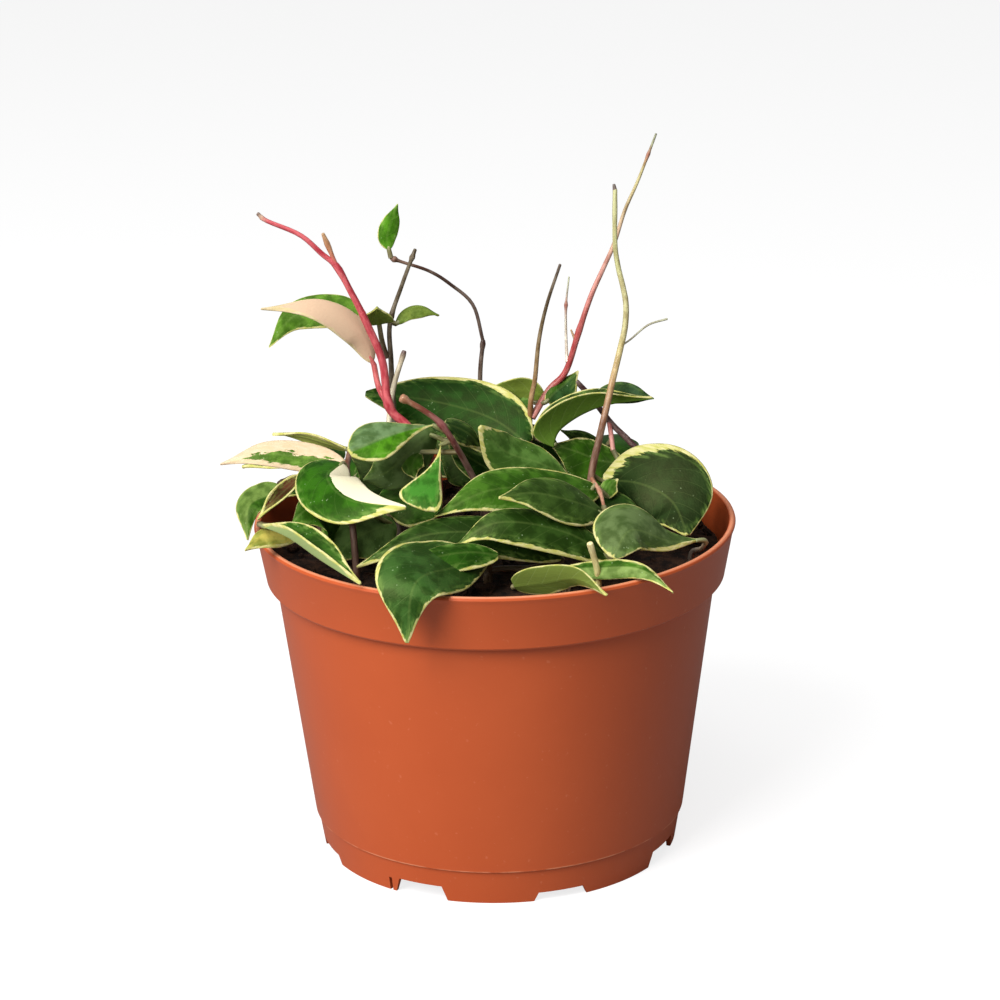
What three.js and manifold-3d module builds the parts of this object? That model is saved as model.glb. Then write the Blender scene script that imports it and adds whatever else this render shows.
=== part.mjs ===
// A potted hoya: a young variegated plant in a terracotta-coloured plastic nursery pot.
// Millimetres, +Z up. The plant is laid out round the pot's axis, with the foot of the pot at z = 0.
// Azimuths are counted from the front (-Y) towards +X.
import * as THREE from "three";
import { mergeVertices } from "three/addons/utils/BufferGeometryUtils.js";
import Module from "manifold-3d";

const wasm = await Module();
wasm.setup();

// Pot
const POT_HEIGHT = 109.6;
const RIM_RADIUS = 77.5;
const LIP_HEIGHT = 1.6;
const LIP_INNER_RADIUS = 75.2;
const BAND_TOP_RADIUS = 76.7;
const BAND_FOOT_RADIUS = 73.7;
const BAND_FOOT_HEIGHT = 91;
const WALL_TOP_RADIUS = 71;
const RIDGE_RADIUS = 60.7;
const RIDGE_HEIGHT = 12.3;
const SKIRT_TOP_RADIUS = 60;
const SKIRT_TOP_HEIGHT = 11.4;
const FOOT_RADIUS = 58.2;
const WALL = 1.3;
const BASE_UNDERSIDE = 6;
const BASE_TOP = 7.4;
const POT_SEGMENTS = 40;

// Notches in the foot, a slit beside one of them, and the drain holes
const NOTCH_COUNT = 8;
const NOTCH_FIRST_AZIMUTH = -25.8;
const NOTCH_WIDTH = 15;
const NOTCH_SLANT = 1.5;
const NOTCH_DEEP = 5;
const NOTCH_SHALLOW = 3;
const SLIT_AZIMUTH = -36.6;
const SLIT_WIDTH = 1.1;
const SLIT_HEIGHT = 4.6;
const DRAIN_RADIUS = 4;
const DRAIN_CIRCLE = 46;

// Soil and the roots that stand in it
const GAP = 0.35;
const SOIL_EDGE_HEIGHT = 99;
const SOIL_MIDDLE_HEIGHT = 101.5;
const ROOT_FOOT = 88;
const SHOOT_START = 104;

// Blades and petioles
const BLADE_RIB = 1.3;
const BLADE_EDGE = 0.7;
const LONG_LEAF = 24;
const PETIOLE_RADIUS = 1.1;
const STEM_SIDES = 5;
const STEM_STEP = 14;
const JOIN_TOLERANCE = 0.06;
const USUAL = { curl: [-20, -20], fold: [0, 0], wide: 0.42, pull: 0.5, plain: false };

// The view of the plant in the photograph: distance and aim from the foot of the pot along the line
// of sight and up across it, the angle looked down and the roll, and the focal length in pixels
const VIEW_DISTANCE = 1100;
const VIEW_AIM = 109.1;
const VIEW_DOWN = 18.376;
const VIEW_ROLL = -0.928;
const VIEW_FOCAL = 3304.4;
const VIEW_MIDDLE = 500;

// Leafy stems. Each point was picked by eye on the photograph: its pixel across and down, then how
// far it lies behind the pot's axis, a guess from what covers what. The part of a shoot that leaves
// cover is guessed, on the way from where it is last seen to the soil. A point of two numbers is a place
// on the soil, x and y, where a shoot is rooted. A shoot is its first and last radius, then the points
// it runs through. A leaf is the four points of its midrib from base to tip, the way its upper face
// looks (azimuth, elevation), the widths of its left and right halves, and what sets it apart from
// the usual leaf: curl and fold of the halves in degrees, the place of its widest part, the pull of
// its tip, and plain for a hidden one, which gets fewer facets.
const STEMS = {
  leader_crimson: {
    colour: 0xc8475a,
    shoots: {
      main: [1.9, 1.3, [-19, -12], [438, 487, -13], [430, 458, -11], [408, 427, -10.5],
        [389, 406, -10], [382, 360, -9], [362, 313, -9]],
      top: [1.2, 0.7, [362, 313, -9], [352, 294, -9], [337, 267, -9], [322, 254, -9],
        [300, 235, -9], [267, 221, -9], [258, 214, -9]],
      side_bud: [0.8, 0.6, [337, 267, -9], [323, 234, -9.5]],
      petiole: [1.1, 1, [389, 405, -10], [379, 388, -8], [374, 365, -6]],
    },
    leaves: {
      pink: [[373, 363, -6], [356, 331, -8], [316, 309, -11], [258, 309, -15], [0, 45], [5, 5]],
      low: [[440, 514, -19], [420, 503, -17], [393, 499, -15.5], [370, 510, -14], [0, 45], [9, 9]],
    },
  },
  stem_dark: {
    colour: 0x4b3a28,
    shoots: {
      main: [1.3, 0.7, [-31, 4], [397, 460, 4], [393, 400, 4], [391, 360, 4], [390, 323, 5],
        [402, 285, 6], [415, 250, 6]],
      fork: [0.9, 0.8, [387, 358, 4], [382, 341, 4], [379, 323, 4]],
    },
    leaves: {
      hooked: [[366, 318, 2], [335, 310, 4], [295, 316, 6], [268, 349, 8], [0, 35], [6, 6]],
      olive: [[379, 324, 4], [378, 319, 1], [377, 314, -2], [377, 307, -5], [180, 30], [5.3, 5.3]],
      olive_tail: [[396, 324, 6], [408, 314, 8], [424, 311, 9], [440, 316, 10], [0, 50], [2.6, 2.6]],
      behind: [[415, 505, 10], [395, 480, 12], [375, 465, 14], [350, 455, 16], [0, 40], [12, 12],
        { plain: true }],
    },
  },
  stem_arching: {
    colour: 0x5a4a34,
    shoots: {
      upright: [1.1, 0.8, [-4, 22], [480, 387, 20], [483, 341, 20]],
      arch: [0.7, 0.6, [483, 341, 20], [473, 305, 18], [450, 284, 16], [429, 271, 14],
        [402, 262, 11.5], [391, 258, 10.5]],
    },
    leaves: {
      upright: [[389, 250, 11], [387, 236, 11], [392, 220, 11], [398, 203, 10], [0, 10], [3.3, 3.3]],
    },
  },
  stub_cream: {
    colour: 0xd7cda5,
    shoots: {
      main: [1.1, 0.9, [-34, -8], [389, 430, -4], [393, 390, -1.5], [404, 352, 0.5]],
    },
    leaves: {},
  },
  stem_bulb_end: {
    colour: 0x8a3a34,
    shoots: {
      main: [1.3, 0.9, [-3, -20], [486, 505, -21], [473, 477, -22], [457, 448, -26],
        [441, 424, -28], [423, 410, -29], [402, 398, -30]],
    },
    leaves: {
      bright: [[440, 424, -20], [411, 430, -24], [381, 439, -30], [348, 454, -36], [0, 45], [7, 8],
        { wide: 0.74, pull: 0.1 }],
      sage: [[436, 430, -14], [410, 451, -18], [386, 472, -20], [362, 480, -22], [0, 0], [9, 9]],
      hanging: [[441, 440, -22], [439, 463, -28], [437, 488, -36], [435, 513, -44], [10, 20], [2, 12],
        { wide: 0.8, pull: 0.05 }],
      right_upper: [[444, 425, -24], [456, 428, -21], [470, 436, -18], [484, 452, -14], [0, 45], [4, 5]],
      right_lower: [[505, 480, -10], [485, 468, -12], [465, 455, -14], [445, 436, -16], [0, 45], [6, 5]],
      little: [[421, 452, -17], [414, 460, -19], [412, 469, -20], [416, 480, -21], [0, 20], [4, 4]],
    },
  },
  stem_long_pink: {
    colour: 0xcd8478,
    shoots: {
      dark_red: [1.3, 1, [45, 10], [636, 456, 10], [630, 442, 11], [612, 424, 13], [590, 396, 15],
        [577, 382, 15]],
      main: [1.4, 0.6, [532, 418, 8.5], [549, 390, 13], [566, 371, 14], [579, 331, 14],
        [591, 296, 14], [603, 269, 14], [614, 244, 14], [625, 210, 14], [637, 183, 14],
        [648, 155, 14], [656, 134, 14]],
      white: [0.7, 0.5, [567, 362, 14], [566, 335, 19], [566, 305, 19.5], [569, 277, 20]],
      brown: [1.3, 0.6, [11, 7], [530, 414, 8], [535, 379, 9], [539, 340, 10], [547, 304, 10],
        [560, 265, 10]],
      pink_low: [0.9, 0.9, [609, 421, 13.5], [611, 434, 10], [613, 450, 6]],
    },
    leaves: {
      wavy: [[530, 446, 0], [490, 418, 8], [430, 401, 11], [362, 394, 10], [0, 35], [13, 12],
        { pull: 0.25 }],
      olive: [[545, 397, 15], [527, 391, 16], [508, 390, 16], [484, 389, 16], [180, 5], [5, 5]],
      folded: [[553, 449, 0], [563, 428, 2], [600, 407, 5], [655, 397, 6], [180, 20], [9, 10],
        { curl: [20, -20], fold: [125, 0], wide: 0.33 }],
      folded_end: [[590, 404, 5], [614, 398, 7], [636, 398, 8], [655, 399, 8], [0, 25], [5.5, 2]],
      right: [[625, 464, 4], [600, 461, 4], [576, 452, 4], [549, 444, 4], [0, 40], [10, 7]],
      right_edge: [[606, 447, 12], [590, 442, 12], [575, 436, 12], [560, 430, 12], [0, 40], [3, 3]],
      curled: [[546, 402, 10], [555, 392, 12], [565, 384, 14], [579, 370, 16], [0, 20], [3, 7]],
      dark_small: [[532, 402, 12], [525, 407, 11], [519, 415, 9], [514, 427, 7], [0, 30], [4, 4]],
      inner_left: [[500, 470, -4], [475, 455, -2], [455, 446, 0], [430, 440, 2], [0, 40], [12, 6]],
      inner_right: [[560, 470, 8], [540, 455, 8], [520, 440, 8], [500, 430, 8], [0, 40], [9, 9],
        { plain: true }],
    },
  },
  stem_curved_pale: {
    colour: 0xcdc88f,
    shoots: {
      main: [1.4, 0.8, [30, -10], [591, 479, -8], [599, 440, -6], [605, 414, -4], [612, 383, -1],
        [620, 350, 2], [625, 327, 3], [626, 305, 3.5], [623, 287, 4], [618, 266, 5],
        [615, 242, 5.5], [615, 190, 6]],
      tendril: [0.5, 0.5, [621, 346, 2.5], [631, 339, 6], [648, 325, 10], [667, 319, 12]],
      low: [1, 0.8, [592, 479, -9], [600, 492, -18], [604, 507, -28]],
    },
    leaves: {
      broad: [[600, 480, -6], [640, 484, -6], [672, 502, -12], [688, 537, -24], [0, 25], [17, 12],
        { wide: 0.52, pull: 0.35 }],
      little: [[608, 499, -14], [609, 490, -13], [612, 484, -12], [618, 479, -10], [0, 30], [3, 3]],
      middle: [[602, 491, -12], [550, 489, -23], [490, 491, -33], [432, 518, -41], [0, 45], [9, 9]],
      front: [[604, 514, -32], [575, 503, -38], [535, 494, -44], [497, 498, -50], [0, 50], [8, 8]],
      sage: [[572, 480, -6], [540, 464, -9], [505, 452, -13], [478, 425, -17], [0, 45], [9, 8],
        { wide: 0.55, pull: 0.3 }],
      inner: [[560, 520, -16], [590, 510, -14], [620, 515, -18], [650, 540, -26], [0, 45], [9, 9],
        { plain: true }],
    },
  },
  stem_low_left: {
    colour: 0x5c3a28,
    shoots: {
      main: [1.3, 1, [-43.5, -36], [352, 518, -32], [348, 480, -20], [347, 466, -12], [350, 450, 3]],
    },
    leaves: {
      long: [[347, 466, -6], [310, 459, -1], [262, 455, 0], [218, 465, 0], [0, 40], [4.5, 6]],
      narrow: [[350, 450, 4], [326, 442, 6], [300, 435, 8], [271, 434, 10], [180, 40], [2.5, 3]],
      half_cream: [[343, 463, -14], [327, 478, -28], [350, 501, -42], [409, 508, -50], [0, 45],
        [9.5, 11]],
      wide: [[351, 520, -20], [330, 511, -25], [310, 508, -30], [291, 525, -36], [0, 45], [14, 6]],
      low: [[396, 522, -20], [374, 530, -25], [350, 543, -31], [332, 566, -39], [0, 40], [9, 9]],
    },
  },
  vine_front_right: {
    colour: 0x6b5638,
    shoots: {
      left: [1.4, 1.2, [22, -47], [548, 581, -51], [513, 587, -59]],
      right: [1.4, 1.2, [22, -47], [592, 572, -45], [616, 562, -41]],
      cream_stub: [1.2, 0.9, [31.5, -56], [597, 569, -58], [590, 544, -60]],
    },
    leaves: {
      long: [[614, 560, -40], [563, 532, -44], [499, 523, -48.5], [455, 546, -50], [0, 45], [8, 6]],
      on_rim: [[512, 586, -60], [545, 582, -65], [578, 578, -71], [609, 596, -79], [180, 15], [5, 6],
        { curl: [10, 10], wide: 0.3 }],
      narrow: [[556, 570, -50], [595, 569, -56], [640, 570, -63], [675, 594, -73], [0, 40], [3, 3.5]],
    },
  },
  vine_front_left: {
    colour: 0x6b5638,
    shoots: {
      left: [1.5, 1.3, [-2, -38], [489, 562, -42], [483, 557, -44]],
      right: [1.4, 1.2, [-2, -38], [530, 568, -36], [563, 560, -34]],
    },
    leaves: {
      hanging: [[490, 560, -46], [452, 569, -60], [415, 585, -80], [407, 646, -85], [0, 40], [9, 15],
        { curl: [-6, -15], wide: 0.5 }],
      beside: [[500, 556, -50], [467, 553, -54], [430, 560, -60], [406, 577, -66], [0, 45], [6, 4],
        { curl: [-10, -10] }],
      long: [[565, 558, -34], [505, 536, -40], [425, 536, -46], [353, 569, -52], [0, 50], [8, 7]],
    },
  },
  vine_left_rim: {
    colour: 0x5a3a2c,
    shoots: {
      up: [1.5, 1.3, [-55, -13], [319, 516, -12], [309, 488, -9], [296, 478, -8], [280, 485, -10]],
      out: [1.2, 1.1, [-55, -13], [318, 543, -19], [302, 538, -28], [279, 529, -32], [259, 524, -34]],
    },
    leaves: {
      hanging: [[285, 489, -12], [265, 497, -14], [249, 508, -18], [248, 542, -24], [-20, 40], [5, 6.5]],
      trough: [[302, 476, -10], [290, 487, -15], [274, 502, -21], [257, 520, -28], [0, 60], [3.5, 3.5],
        { curl: [70, 70] }],
      yellow: [[300, 538, -30], [280, 538, -34], [262, 542, -38], [244, 551, -42], [0, 40], [3, 5]],
      along_rim: [[259, 524, -34], [289, 537, -44], [322, 560, -56], [363, 585, -68], [0, 90], [7, 4.5],
        { curl: [0, 10], fold: [40, 70], wide: 0.55 }],
    },
  },
  vine_right_rim: {
    colour: 0x6b5638,
    shoots: {
      main: [1.2, 0.8, [62, -24], [701, 549, -27], [706, 543, -30]],
    },
    leaves: {
      grey: [[704, 540, -31], [669, 542, -38], [631, 531, -46], [612, 560, -54], [0, 45], [7, 12],
        { wide: 0.7, pull: 0.15 }],
    },
  },
};

// Low leafy stems at the back, out of sight from the front: the place where each stands on the soil,
// its height and its pairs of opposite leaves, whose turn and length are drawn from a seeded run.
const BACK_VINES = {
  vine_back_left: [-46, 30, 11, 3],
  vine_back_middle: [-8, 46, 9, 2],
  vine_back_right: [30, 30, 8, 2],
};
const BACK_SEED = 11;
const BACK_PAIRS = [[0.95, 28], [0.35, 66], [0.65, 116]];
const BACK_LEAN = 7;
const BACK_LEAF_LENGTH = 30;
const BACK_LEAF_SPREAD = 6;
const BACK_HALF_WIDTH = 9;

// The way a face looks, from its azimuth and elevation in degrees
function facing([azimuth, elevation]) {
  const a = THREE.MathUtils.degToRad(azimuth);
  const e = THREE.MathUtils.degToRad(elevation);
  return new THREE.Vector3(Math.sin(a) * Math.cos(e), -Math.cos(a) * Math.cos(e), Math.sin(e));
}

// The place of a picked point: along its line of sight to where it lies so far behind the axis, or
// on the soil where it has two numbers only
function placed(point) {
  const [column, row, behind] = point;
  if (behind === undefined) {
    return [column, row, SHOOT_START];
  }
  const down = THREE.MathUtils.degToRad(VIEW_DOWN);
  const roll = THREE.MathUtils.degToRad(VIEW_ROLL);
  const across = new THREE.Vector3(1, 0, 0);
  const upward = new THREE.Vector3(0, Math.sin(down), Math.cos(down));
  const back = new THREE.Vector3(0, -Math.cos(down), Math.sin(down));
  const right = across.clone().multiplyScalar(Math.cos(roll)).addScaledVector(upward, Math.sin(roll));
  const up = upward.clone().multiplyScalar(Math.cos(roll)).addScaledVector(across, -Math.sin(roll));
  const eye = back.clone().multiplyScalar(VIEW_DISTANCE).addScaledVector(up, VIEW_AIM);
  const sight = right.multiplyScalar((column - VIEW_MIDDLE) / VIEW_FOCAL);
  sight.addScaledVector(up, (VIEW_MIDDLE - row) / VIEW_FOCAL).sub(back);
  return eye.addScaledVector(sight, (behind - eye.y) / sight.y).toArray();
}

function curveThrough(points) {
  const ends = points.map((p) => new THREE.Vector3(...p));
  return new THREE.CatmullRomCurve3(ends, false, "catmullrom", 0.5);
}

// A three.js geometry as a solid to join or cut
function solidOf(geometry) {
  const bare = new THREE.BufferGeometry();
  bare.setAttribute("position", geometry.getAttribute("position").clone());
  if (geometry.index) {
    bare.setIndex(geometry.index.clone());
  }
  const merged = mergeVertices(bare, 1e-3);
  const triVerts = new Uint32Array(merged.index.array);
  const vertProperties = merged.getAttribute("position").array;
  return new wasm.Manifold(new wasm.Mesh({ numProp: 3, vertProperties, triVerts }));
}

function geometryOf(solid) {
  const mesh = solid.getMesh();
  const geometry = new THREE.BufferGeometry();
  geometry.setAttribute("position", new THREE.BufferAttribute(mesh.vertProperties, 3));
  geometry.setIndex(new THREE.BufferAttribute(mesh.triVerts, 1));
  return geometry;
}

// One body from joined solids; small hollows shut in by the joining are filled
function oneBody(name, solids) {
  const joined = solids.reduce((all, next) => all.add(next)).setTolerance(JOIN_TOLERANCE);
  const bodies = joined.decompose().filter((body) => body.volume() > 0);
  if (bodies.length > 1) {
    const places = bodies.map((body) => body.boundingBox().min.map(Math.round).join(", "));
    throw new Error(name + " has pieces that stand apart, from " + places.join(" and from "));
  }
  return bodies[0];
}

// A round tapered shoot: a cylinder bent along its curve
function shootSolid(points, firstRadius, lastRadius, sides, step) {
  const curve = curveThrough(points);
  const spans = points.length - 1;
  const segments = spans * Math.max(1, Math.round(curve.getLength() / spans / step));
  const bent = new THREE.CylinderGeometry(lastRadius, firstRadius, segments, sides, segments);
  const frames = [];
  let normal = new THREE.Vector3(0.83, 0.51, 0.22);
  for (let k = 0; k <= segments; k++) {
    const along = curve.getTangent(k / segments);
    normal = normal.clone().addScaledVector(along, -normal.dot(along)).normalize();
    frames.push([curve.getPoint(k / segments), normal, along.clone().cross(normal)]);
  }
  const place = bent.getAttribute("position");
  for (let i = 0; i < place.count; i++) {
    const [centre, across, over] = frames[Math.round(place.getY(i) + segments / 2)];
    const at = centre.clone();
    at.addScaledVector(across, place.getX(i));
    at.addScaledVector(over, -place.getZ(i));
    place.setXYZ(i, at.x, at.y, at.z);
  }
  return solidOf(bent);
}

// A little swollen node where shoots meet
function nodeSolid(point, radius) {
  const ball = new THREE.IcosahedronGeometry(radius, 0);
  ball.translate(...point);
  return solidOf(ball);
}

// A leaf blade: a thin box bent to the midrib, its halves curled and folded about it
function bladeSolid([p0, p1, p2, p3, look, widths, own]) {
  const { curl, fold, wide, pull, plain } = { ...USUAL, ...own };
  const rib = curveThrough([p0, p1, p2, p3]);
  const long = rib.getLength() > LONG_LEAF;
  const blade = new THREE.BoxGeometry(1, 2, 1, long ? 5 : 4, long && !plain ? 4 : 2, 1);
  const power = Math.log(0.5) / Math.log(wide);
  const upper = facing(look);
  const place = blade.getAttribute("position");
  for (let i = 0; i < place.count; i++) {
    const u = 0.02 + 0.965 * (place.getX(i) + 0.5);
    const v = -place.getY(i);
    const half = v < 0 ? 0 : 1;
    const side = v < 0 ? -1 : 1;
    const along = rib.getTangent(u);
    const normal = upper.clone().addScaledVector(along, -upper.dot(along)).normalize();
    const across = along.clone().cross(normal);
    const end = THREE.MathUtils.smoothstep(u, 0.66, 1);
    const width = widths[half] * Math.sin(Math.PI * u ** power) ** 0.8 * (1 - pull * end);
    const bend = THREE.MathUtils.degToRad(curl[half]);
    const start = THREE.MathUtils.degToRad(fold[half]);
    const turn = start + bend * Math.abs(v);
    let out = width * Math.abs(v) * Math.cos(start);
    let lift = width * Math.abs(v) * Math.sin(start);
    if (bend !== 0) {
      out = (width / bend) * (Math.sin(turn) - Math.sin(start));
      lift = (width / bend) * (Math.cos(start) - Math.cos(turn));
    }
    const thick = (BLADE_RIB + (BLADE_EDGE - BLADE_RIB) * Math.abs(v)) * Math.sign(place.getZ(i)) * 0.5;
    const lean = v === 0 ? 0 : turn;
    const at = rib.getPoint(u);
    at.addScaledVector(across, side * (out - thick * Math.sin(lean)));
    at.addScaledVector(normal, lift + thick * Math.cos(lean));
    place.setXYZ(i, at.x, at.y, at.z);
  }
  return solidOf(blade);
}

// The petiole runs from the nearest place on the stem's shoots into the base of the blade
function petioleSolid([base, second], shoots) {
  const foot = new THREE.Vector3(...base);
  let nearest = null;
  for (const [, , ...run] of shoots) {
    const curve = curveThrough(run);
    for (let k = 0; k <= 40; k++) {
      const at = curve.getPoint(k / 40);
      if (!nearest || at.distanceTo(foot) < nearest.distanceTo(foot)) {
        nearest = at;
      }
    }
  }
  const into = foot.clone().lerp(new THREE.Vector3(...second), 0.22);
  const onward = foot.clone().sub(nearest).dot(into.clone().sub(foot)) > 0;
  const run = onward && nearest.distanceTo(foot) > 1.5 ? [nearest, foot, into] : [nearest, into];
  return shootSolid(run.map((point) => point.toArray()), PETIOLE_RADIUS, 0.7, 4, 8);
}

// A whole leafy stem: roots, shoots, swollen nodes, petioles and blades joined
function leafyStem(name, { shoots, leaves }) {
  const solids = [];
  for (const [first, last, ...run] of shoots) {
    solids.push(shootSolid(run, first, last, STEM_SIDES, STEM_STEP));
    if (run[0][2] !== SHOOT_START) {
      solids.push(nodeSolid(run[0], first * 1.35));
    } else {
      const root = new THREE.CylinderGeometry(first, first, SHOOT_START - ROOT_FOOT, 8, 1);
      root.rotateX(Math.PI / 2);
      root.translate(run[0][0], run[0][1], (SHOOT_START + ROOT_FOOT) / 2);
      solids.push(solidOf(root));
    }
  }
  for (const leaf of leaves) {
    solids.push(petioleSolid(leaf, shoots));
    solids.push(bladeSolid(leaf));
  }
  return oneBody(name, solids);
}

// The seeded run of draws between 0 and 1
let seed = BACK_SEED;
function draw() {
  seed = (seed * 16807) % 2147483647;
  return seed / 2147483647;
}

function backVine([x, y, height, pairs]) {
  const outward = Math.atan2(x, -y);
  const out = [Math.sin(outward), -Math.cos(outward)];
  const top = [x + BACK_LEAN * out[0], y + BACK_LEAN * out[1], SHOOT_START + height];
  const shoots = [[1.5, 1, [x, y, SHOOT_START], [x, y, SHOOT_START + 3], top]];
  const leaves = [];
  for (const [share, turn] of BACK_PAIRS.slice(0, pairs)) {
    for (const side of [-1, 1]) {
      const way = outward + side * THREE.MathUtils.degToRad(turn + 8 * draw());
      const length = BACK_LEAF_LENGTH + BACK_LEAF_SPREAD * draw();
      const half = BACK_HALF_WIDTH * (0.85 + 0.3 * draw());
      const rise = 4 + 3 * draw();
      const base = [
        x + share * (top[0] - x),
        y + share * (top[1] - y),
        SHOOT_START + share * height,
      ];
      const reach = (far, up) => [
        base[0] + far * Math.sin(way),
        base[1] - far * Math.cos(way),
        base[2] + up,
      ];
      const rib = [reach(4, 1), reach(length / 3, rise), reach(length * 0.67, rise), reach(length, rise - 3)];
      leaves.push([...rib, [THREE.MathUtils.radToDeg(way), 75], [half, half], { plain: true }]);
    }
  }
  return { colour: 0x4a5a30, shoots, leaves };
}

// Pot: one thin turned shell, with the foot notches, the slit and the drain holes cut out of it
function potSolid() {
  const profile = [
    [0, BASE_UNDERSIDE],
    [FOOT_RADIUS - WALL, BASE_UNDERSIDE],
    [FOOT_RADIUS - WALL, 0],
    [FOOT_RADIUS, 0],
    [SKIRT_TOP_RADIUS, SKIRT_TOP_HEIGHT],
    [RIDGE_RADIUS, RIDGE_HEIGHT],
    [WALL_TOP_RADIUS, BAND_FOOT_HEIGHT],
    [BAND_FOOT_RADIUS, BAND_FOOT_HEIGHT + 0.3],
    [BAND_TOP_RADIUS, POT_HEIGHT - LIP_HEIGHT - 0.8],
    [RIM_RADIUS, POT_HEIGHT - LIP_HEIGHT],
    [RIM_RADIUS - 0.2, POT_HEIGHT],
    [LIP_INNER_RADIUS + 0.2, POT_HEIGHT],
    [BAND_FOOT_RADIUS - WALL, BAND_FOOT_HEIGHT + 1.6],
    [WALL_TOP_RADIUS - WALL, BAND_FOOT_HEIGHT - 0.6],
    [RIDGE_RADIUS - WALL, RIDGE_HEIGHT],
    [RIDGE_RADIUS - WALL - 0.6, BASE_TOP],
    [0, BASE_TOP],
  ];
  const lathe = new THREE.LatheGeometry(profile.map((p) => new THREE.Vector2(...p)), POT_SEGMENTS);
  lathe.rotateX(Math.PI / 2);
  let pot = solidOf(lathe);
  const cuts = [];
  for (let k = 0; k < NOTCH_COUNT; k++) {
    const depth = k % 2 === 0 ? NOTCH_DEEP : NOTCH_SHALLOW;
    const bottom = NOTCH_WIDTH / 2 + NOTCH_SLANT;
    const top = NOTCH_WIDTH / 2 - NOTCH_SLANT;
    const outline = new THREE.Shape();
    outline.moveTo(-bottom, -2);
    outline.lineTo(bottom, -2);
    outline.lineTo(bottom, 0);
    outline.lineTo(top, depth);
    outline.lineTo(-top, depth);
    outline.lineTo(-bottom, 0);
    outline.closePath();
    const notch = new THREE.ExtrudeGeometry(outline, { depth: 12, bevelEnabled: false });
    notch.rotateX(Math.PI / 2);
    notch.translate(0, -(FOOT_RADIUS - 6), 0);
    notch.rotateZ(THREE.MathUtils.degToRad(NOTCH_FIRST_AZIMUTH + (k * 360) / NOTCH_COUNT));
    cuts.push(solidOf(notch));
    const hole = new THREE.CylinderGeometry(DRAIN_RADIUS, DRAIN_RADIUS, 6, 16);
    hole.rotateX(Math.PI / 2);
    hole.translate(0, -DRAIN_CIRCLE, BASE_UNDERSIDE);
    hole.rotateZ(THREE.MathUtils.degToRad(NOTCH_FIRST_AZIMUTH + (k * 360) / NOTCH_COUNT));
    cuts.push(solidOf(hole));
  }
  const slit = new THREE.BoxGeometry(SLIT_WIDTH, 12, 2 * SLIT_HEIGHT);
  slit.translate(0, -FOOT_RADIUS, 0);
  slit.rotateZ(THREE.MathUtils.degToRad(SLIT_AZIMUTH));
  cuts.push(solidOf(slit));
  for (const cut of cuts) {
    pot = pot.subtract(cut);
  }
  return pot;
}

// Soil: a low mound that fills the pot to a finger's width below the rim, with a plain hole for
// each root
function soilSolid(roots) {
  const profile = [
    [0, BASE_TOP + GAP],
    [RIDGE_RADIUS - WALL - 0.6 - GAP, BASE_TOP + GAP],
    [RIDGE_RADIUS - WALL - GAP, RIDGE_HEIGHT],
    [WALL_TOP_RADIUS - WALL - GAP, BAND_FOOT_HEIGHT - 0.6],
    [BAND_FOOT_RADIUS - WALL - GAP, BAND_FOOT_HEIGHT + 1.6],
    [BAND_FOOT_RADIUS - WALL - GAP + 0.5, SOIL_EDGE_HEIGHT],
    [55, SOIL_MIDDLE_HEIGHT - 1],
    [0, SOIL_MIDDLE_HEIGHT],
  ];
  const lathe = new THREE.LatheGeometry(profile.map((p) => new THREE.Vector2(...p)), 36);
  lathe.rotateX(Math.PI / 2);
  let soil = solidOf(lathe);
  for (const [x, y, radius] of roots) {
    const hole = new THREE.CylinderGeometry(radius + GAP, radius + GAP, 40, 8);
    hole.rotateX(Math.PI / 2);
    hole.translate(x, y, ROOT_FOOT - GAP + 20);
    soil = soil.subtract(solidOf(hole));
  }
  return soil;
}

const plant = new THREE.Group();
plant.name = "potted_hoya";

function addNode(name, solid, colour, roughness) {
  const material = new THREE.MeshStandardMaterial({ color: colour, roughness, metalness: 0 });
  const mesh = new THREE.Mesh(geometryOf(solid), material);
  mesh.name = name;
  plant.add(mesh);
}

const stems = {};
for (const [name, { colour, shoots, leaves }] of Object.entries(STEMS)) {
  stems[name] = {
    colour,
    shoots: Object.values(shoots).map(([first, last, ...run]) => [first, last, ...run.map(placed)]),
    leaves: Object.values(leaves).map((leaf) => [...leaf.slice(0, 4).map(placed), ...leaf.slice(4)]),
  };
}
for (const [name, place] of Object.entries(BACK_VINES)) {
  stems[name] = backVine(place);
}
const roots = [];
for (const { shoots } of Object.values(stems)) {
  for (const [radius, , first] of shoots) {
    if (first[2] === SHOOT_START && !roots.some((r) => r[0] === first[0] && r[1] === first[1])) {
      roots.push([first[0], first[1], radius]);
    }
  }
}
addNode("pot", potSolid(), 0xb5583a, 0.45);
addNode("soil", soilSolid(roots), 0x2a1c14, 0.95);
for (const [name, stem] of Object.entries(stems)) {
  addNode(name, leafyStem(name, stem), stem.colour, 0.4);
}

// The frame: middle of the whole plant's footprint, at the foot of the pot
const span = new THREE.Box3().setFromObject(plant);
const middle = span.getCenter(new THREE.Vector3());
plant.position.set(-middle.x, -middle.y, -span.min.z);

const whole = new THREE.Group();
whole.add(plant);
export default whole;
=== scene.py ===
import math
import random

import bmesh
import bpy
from mathutils import Matrix, Vector, noise


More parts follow.
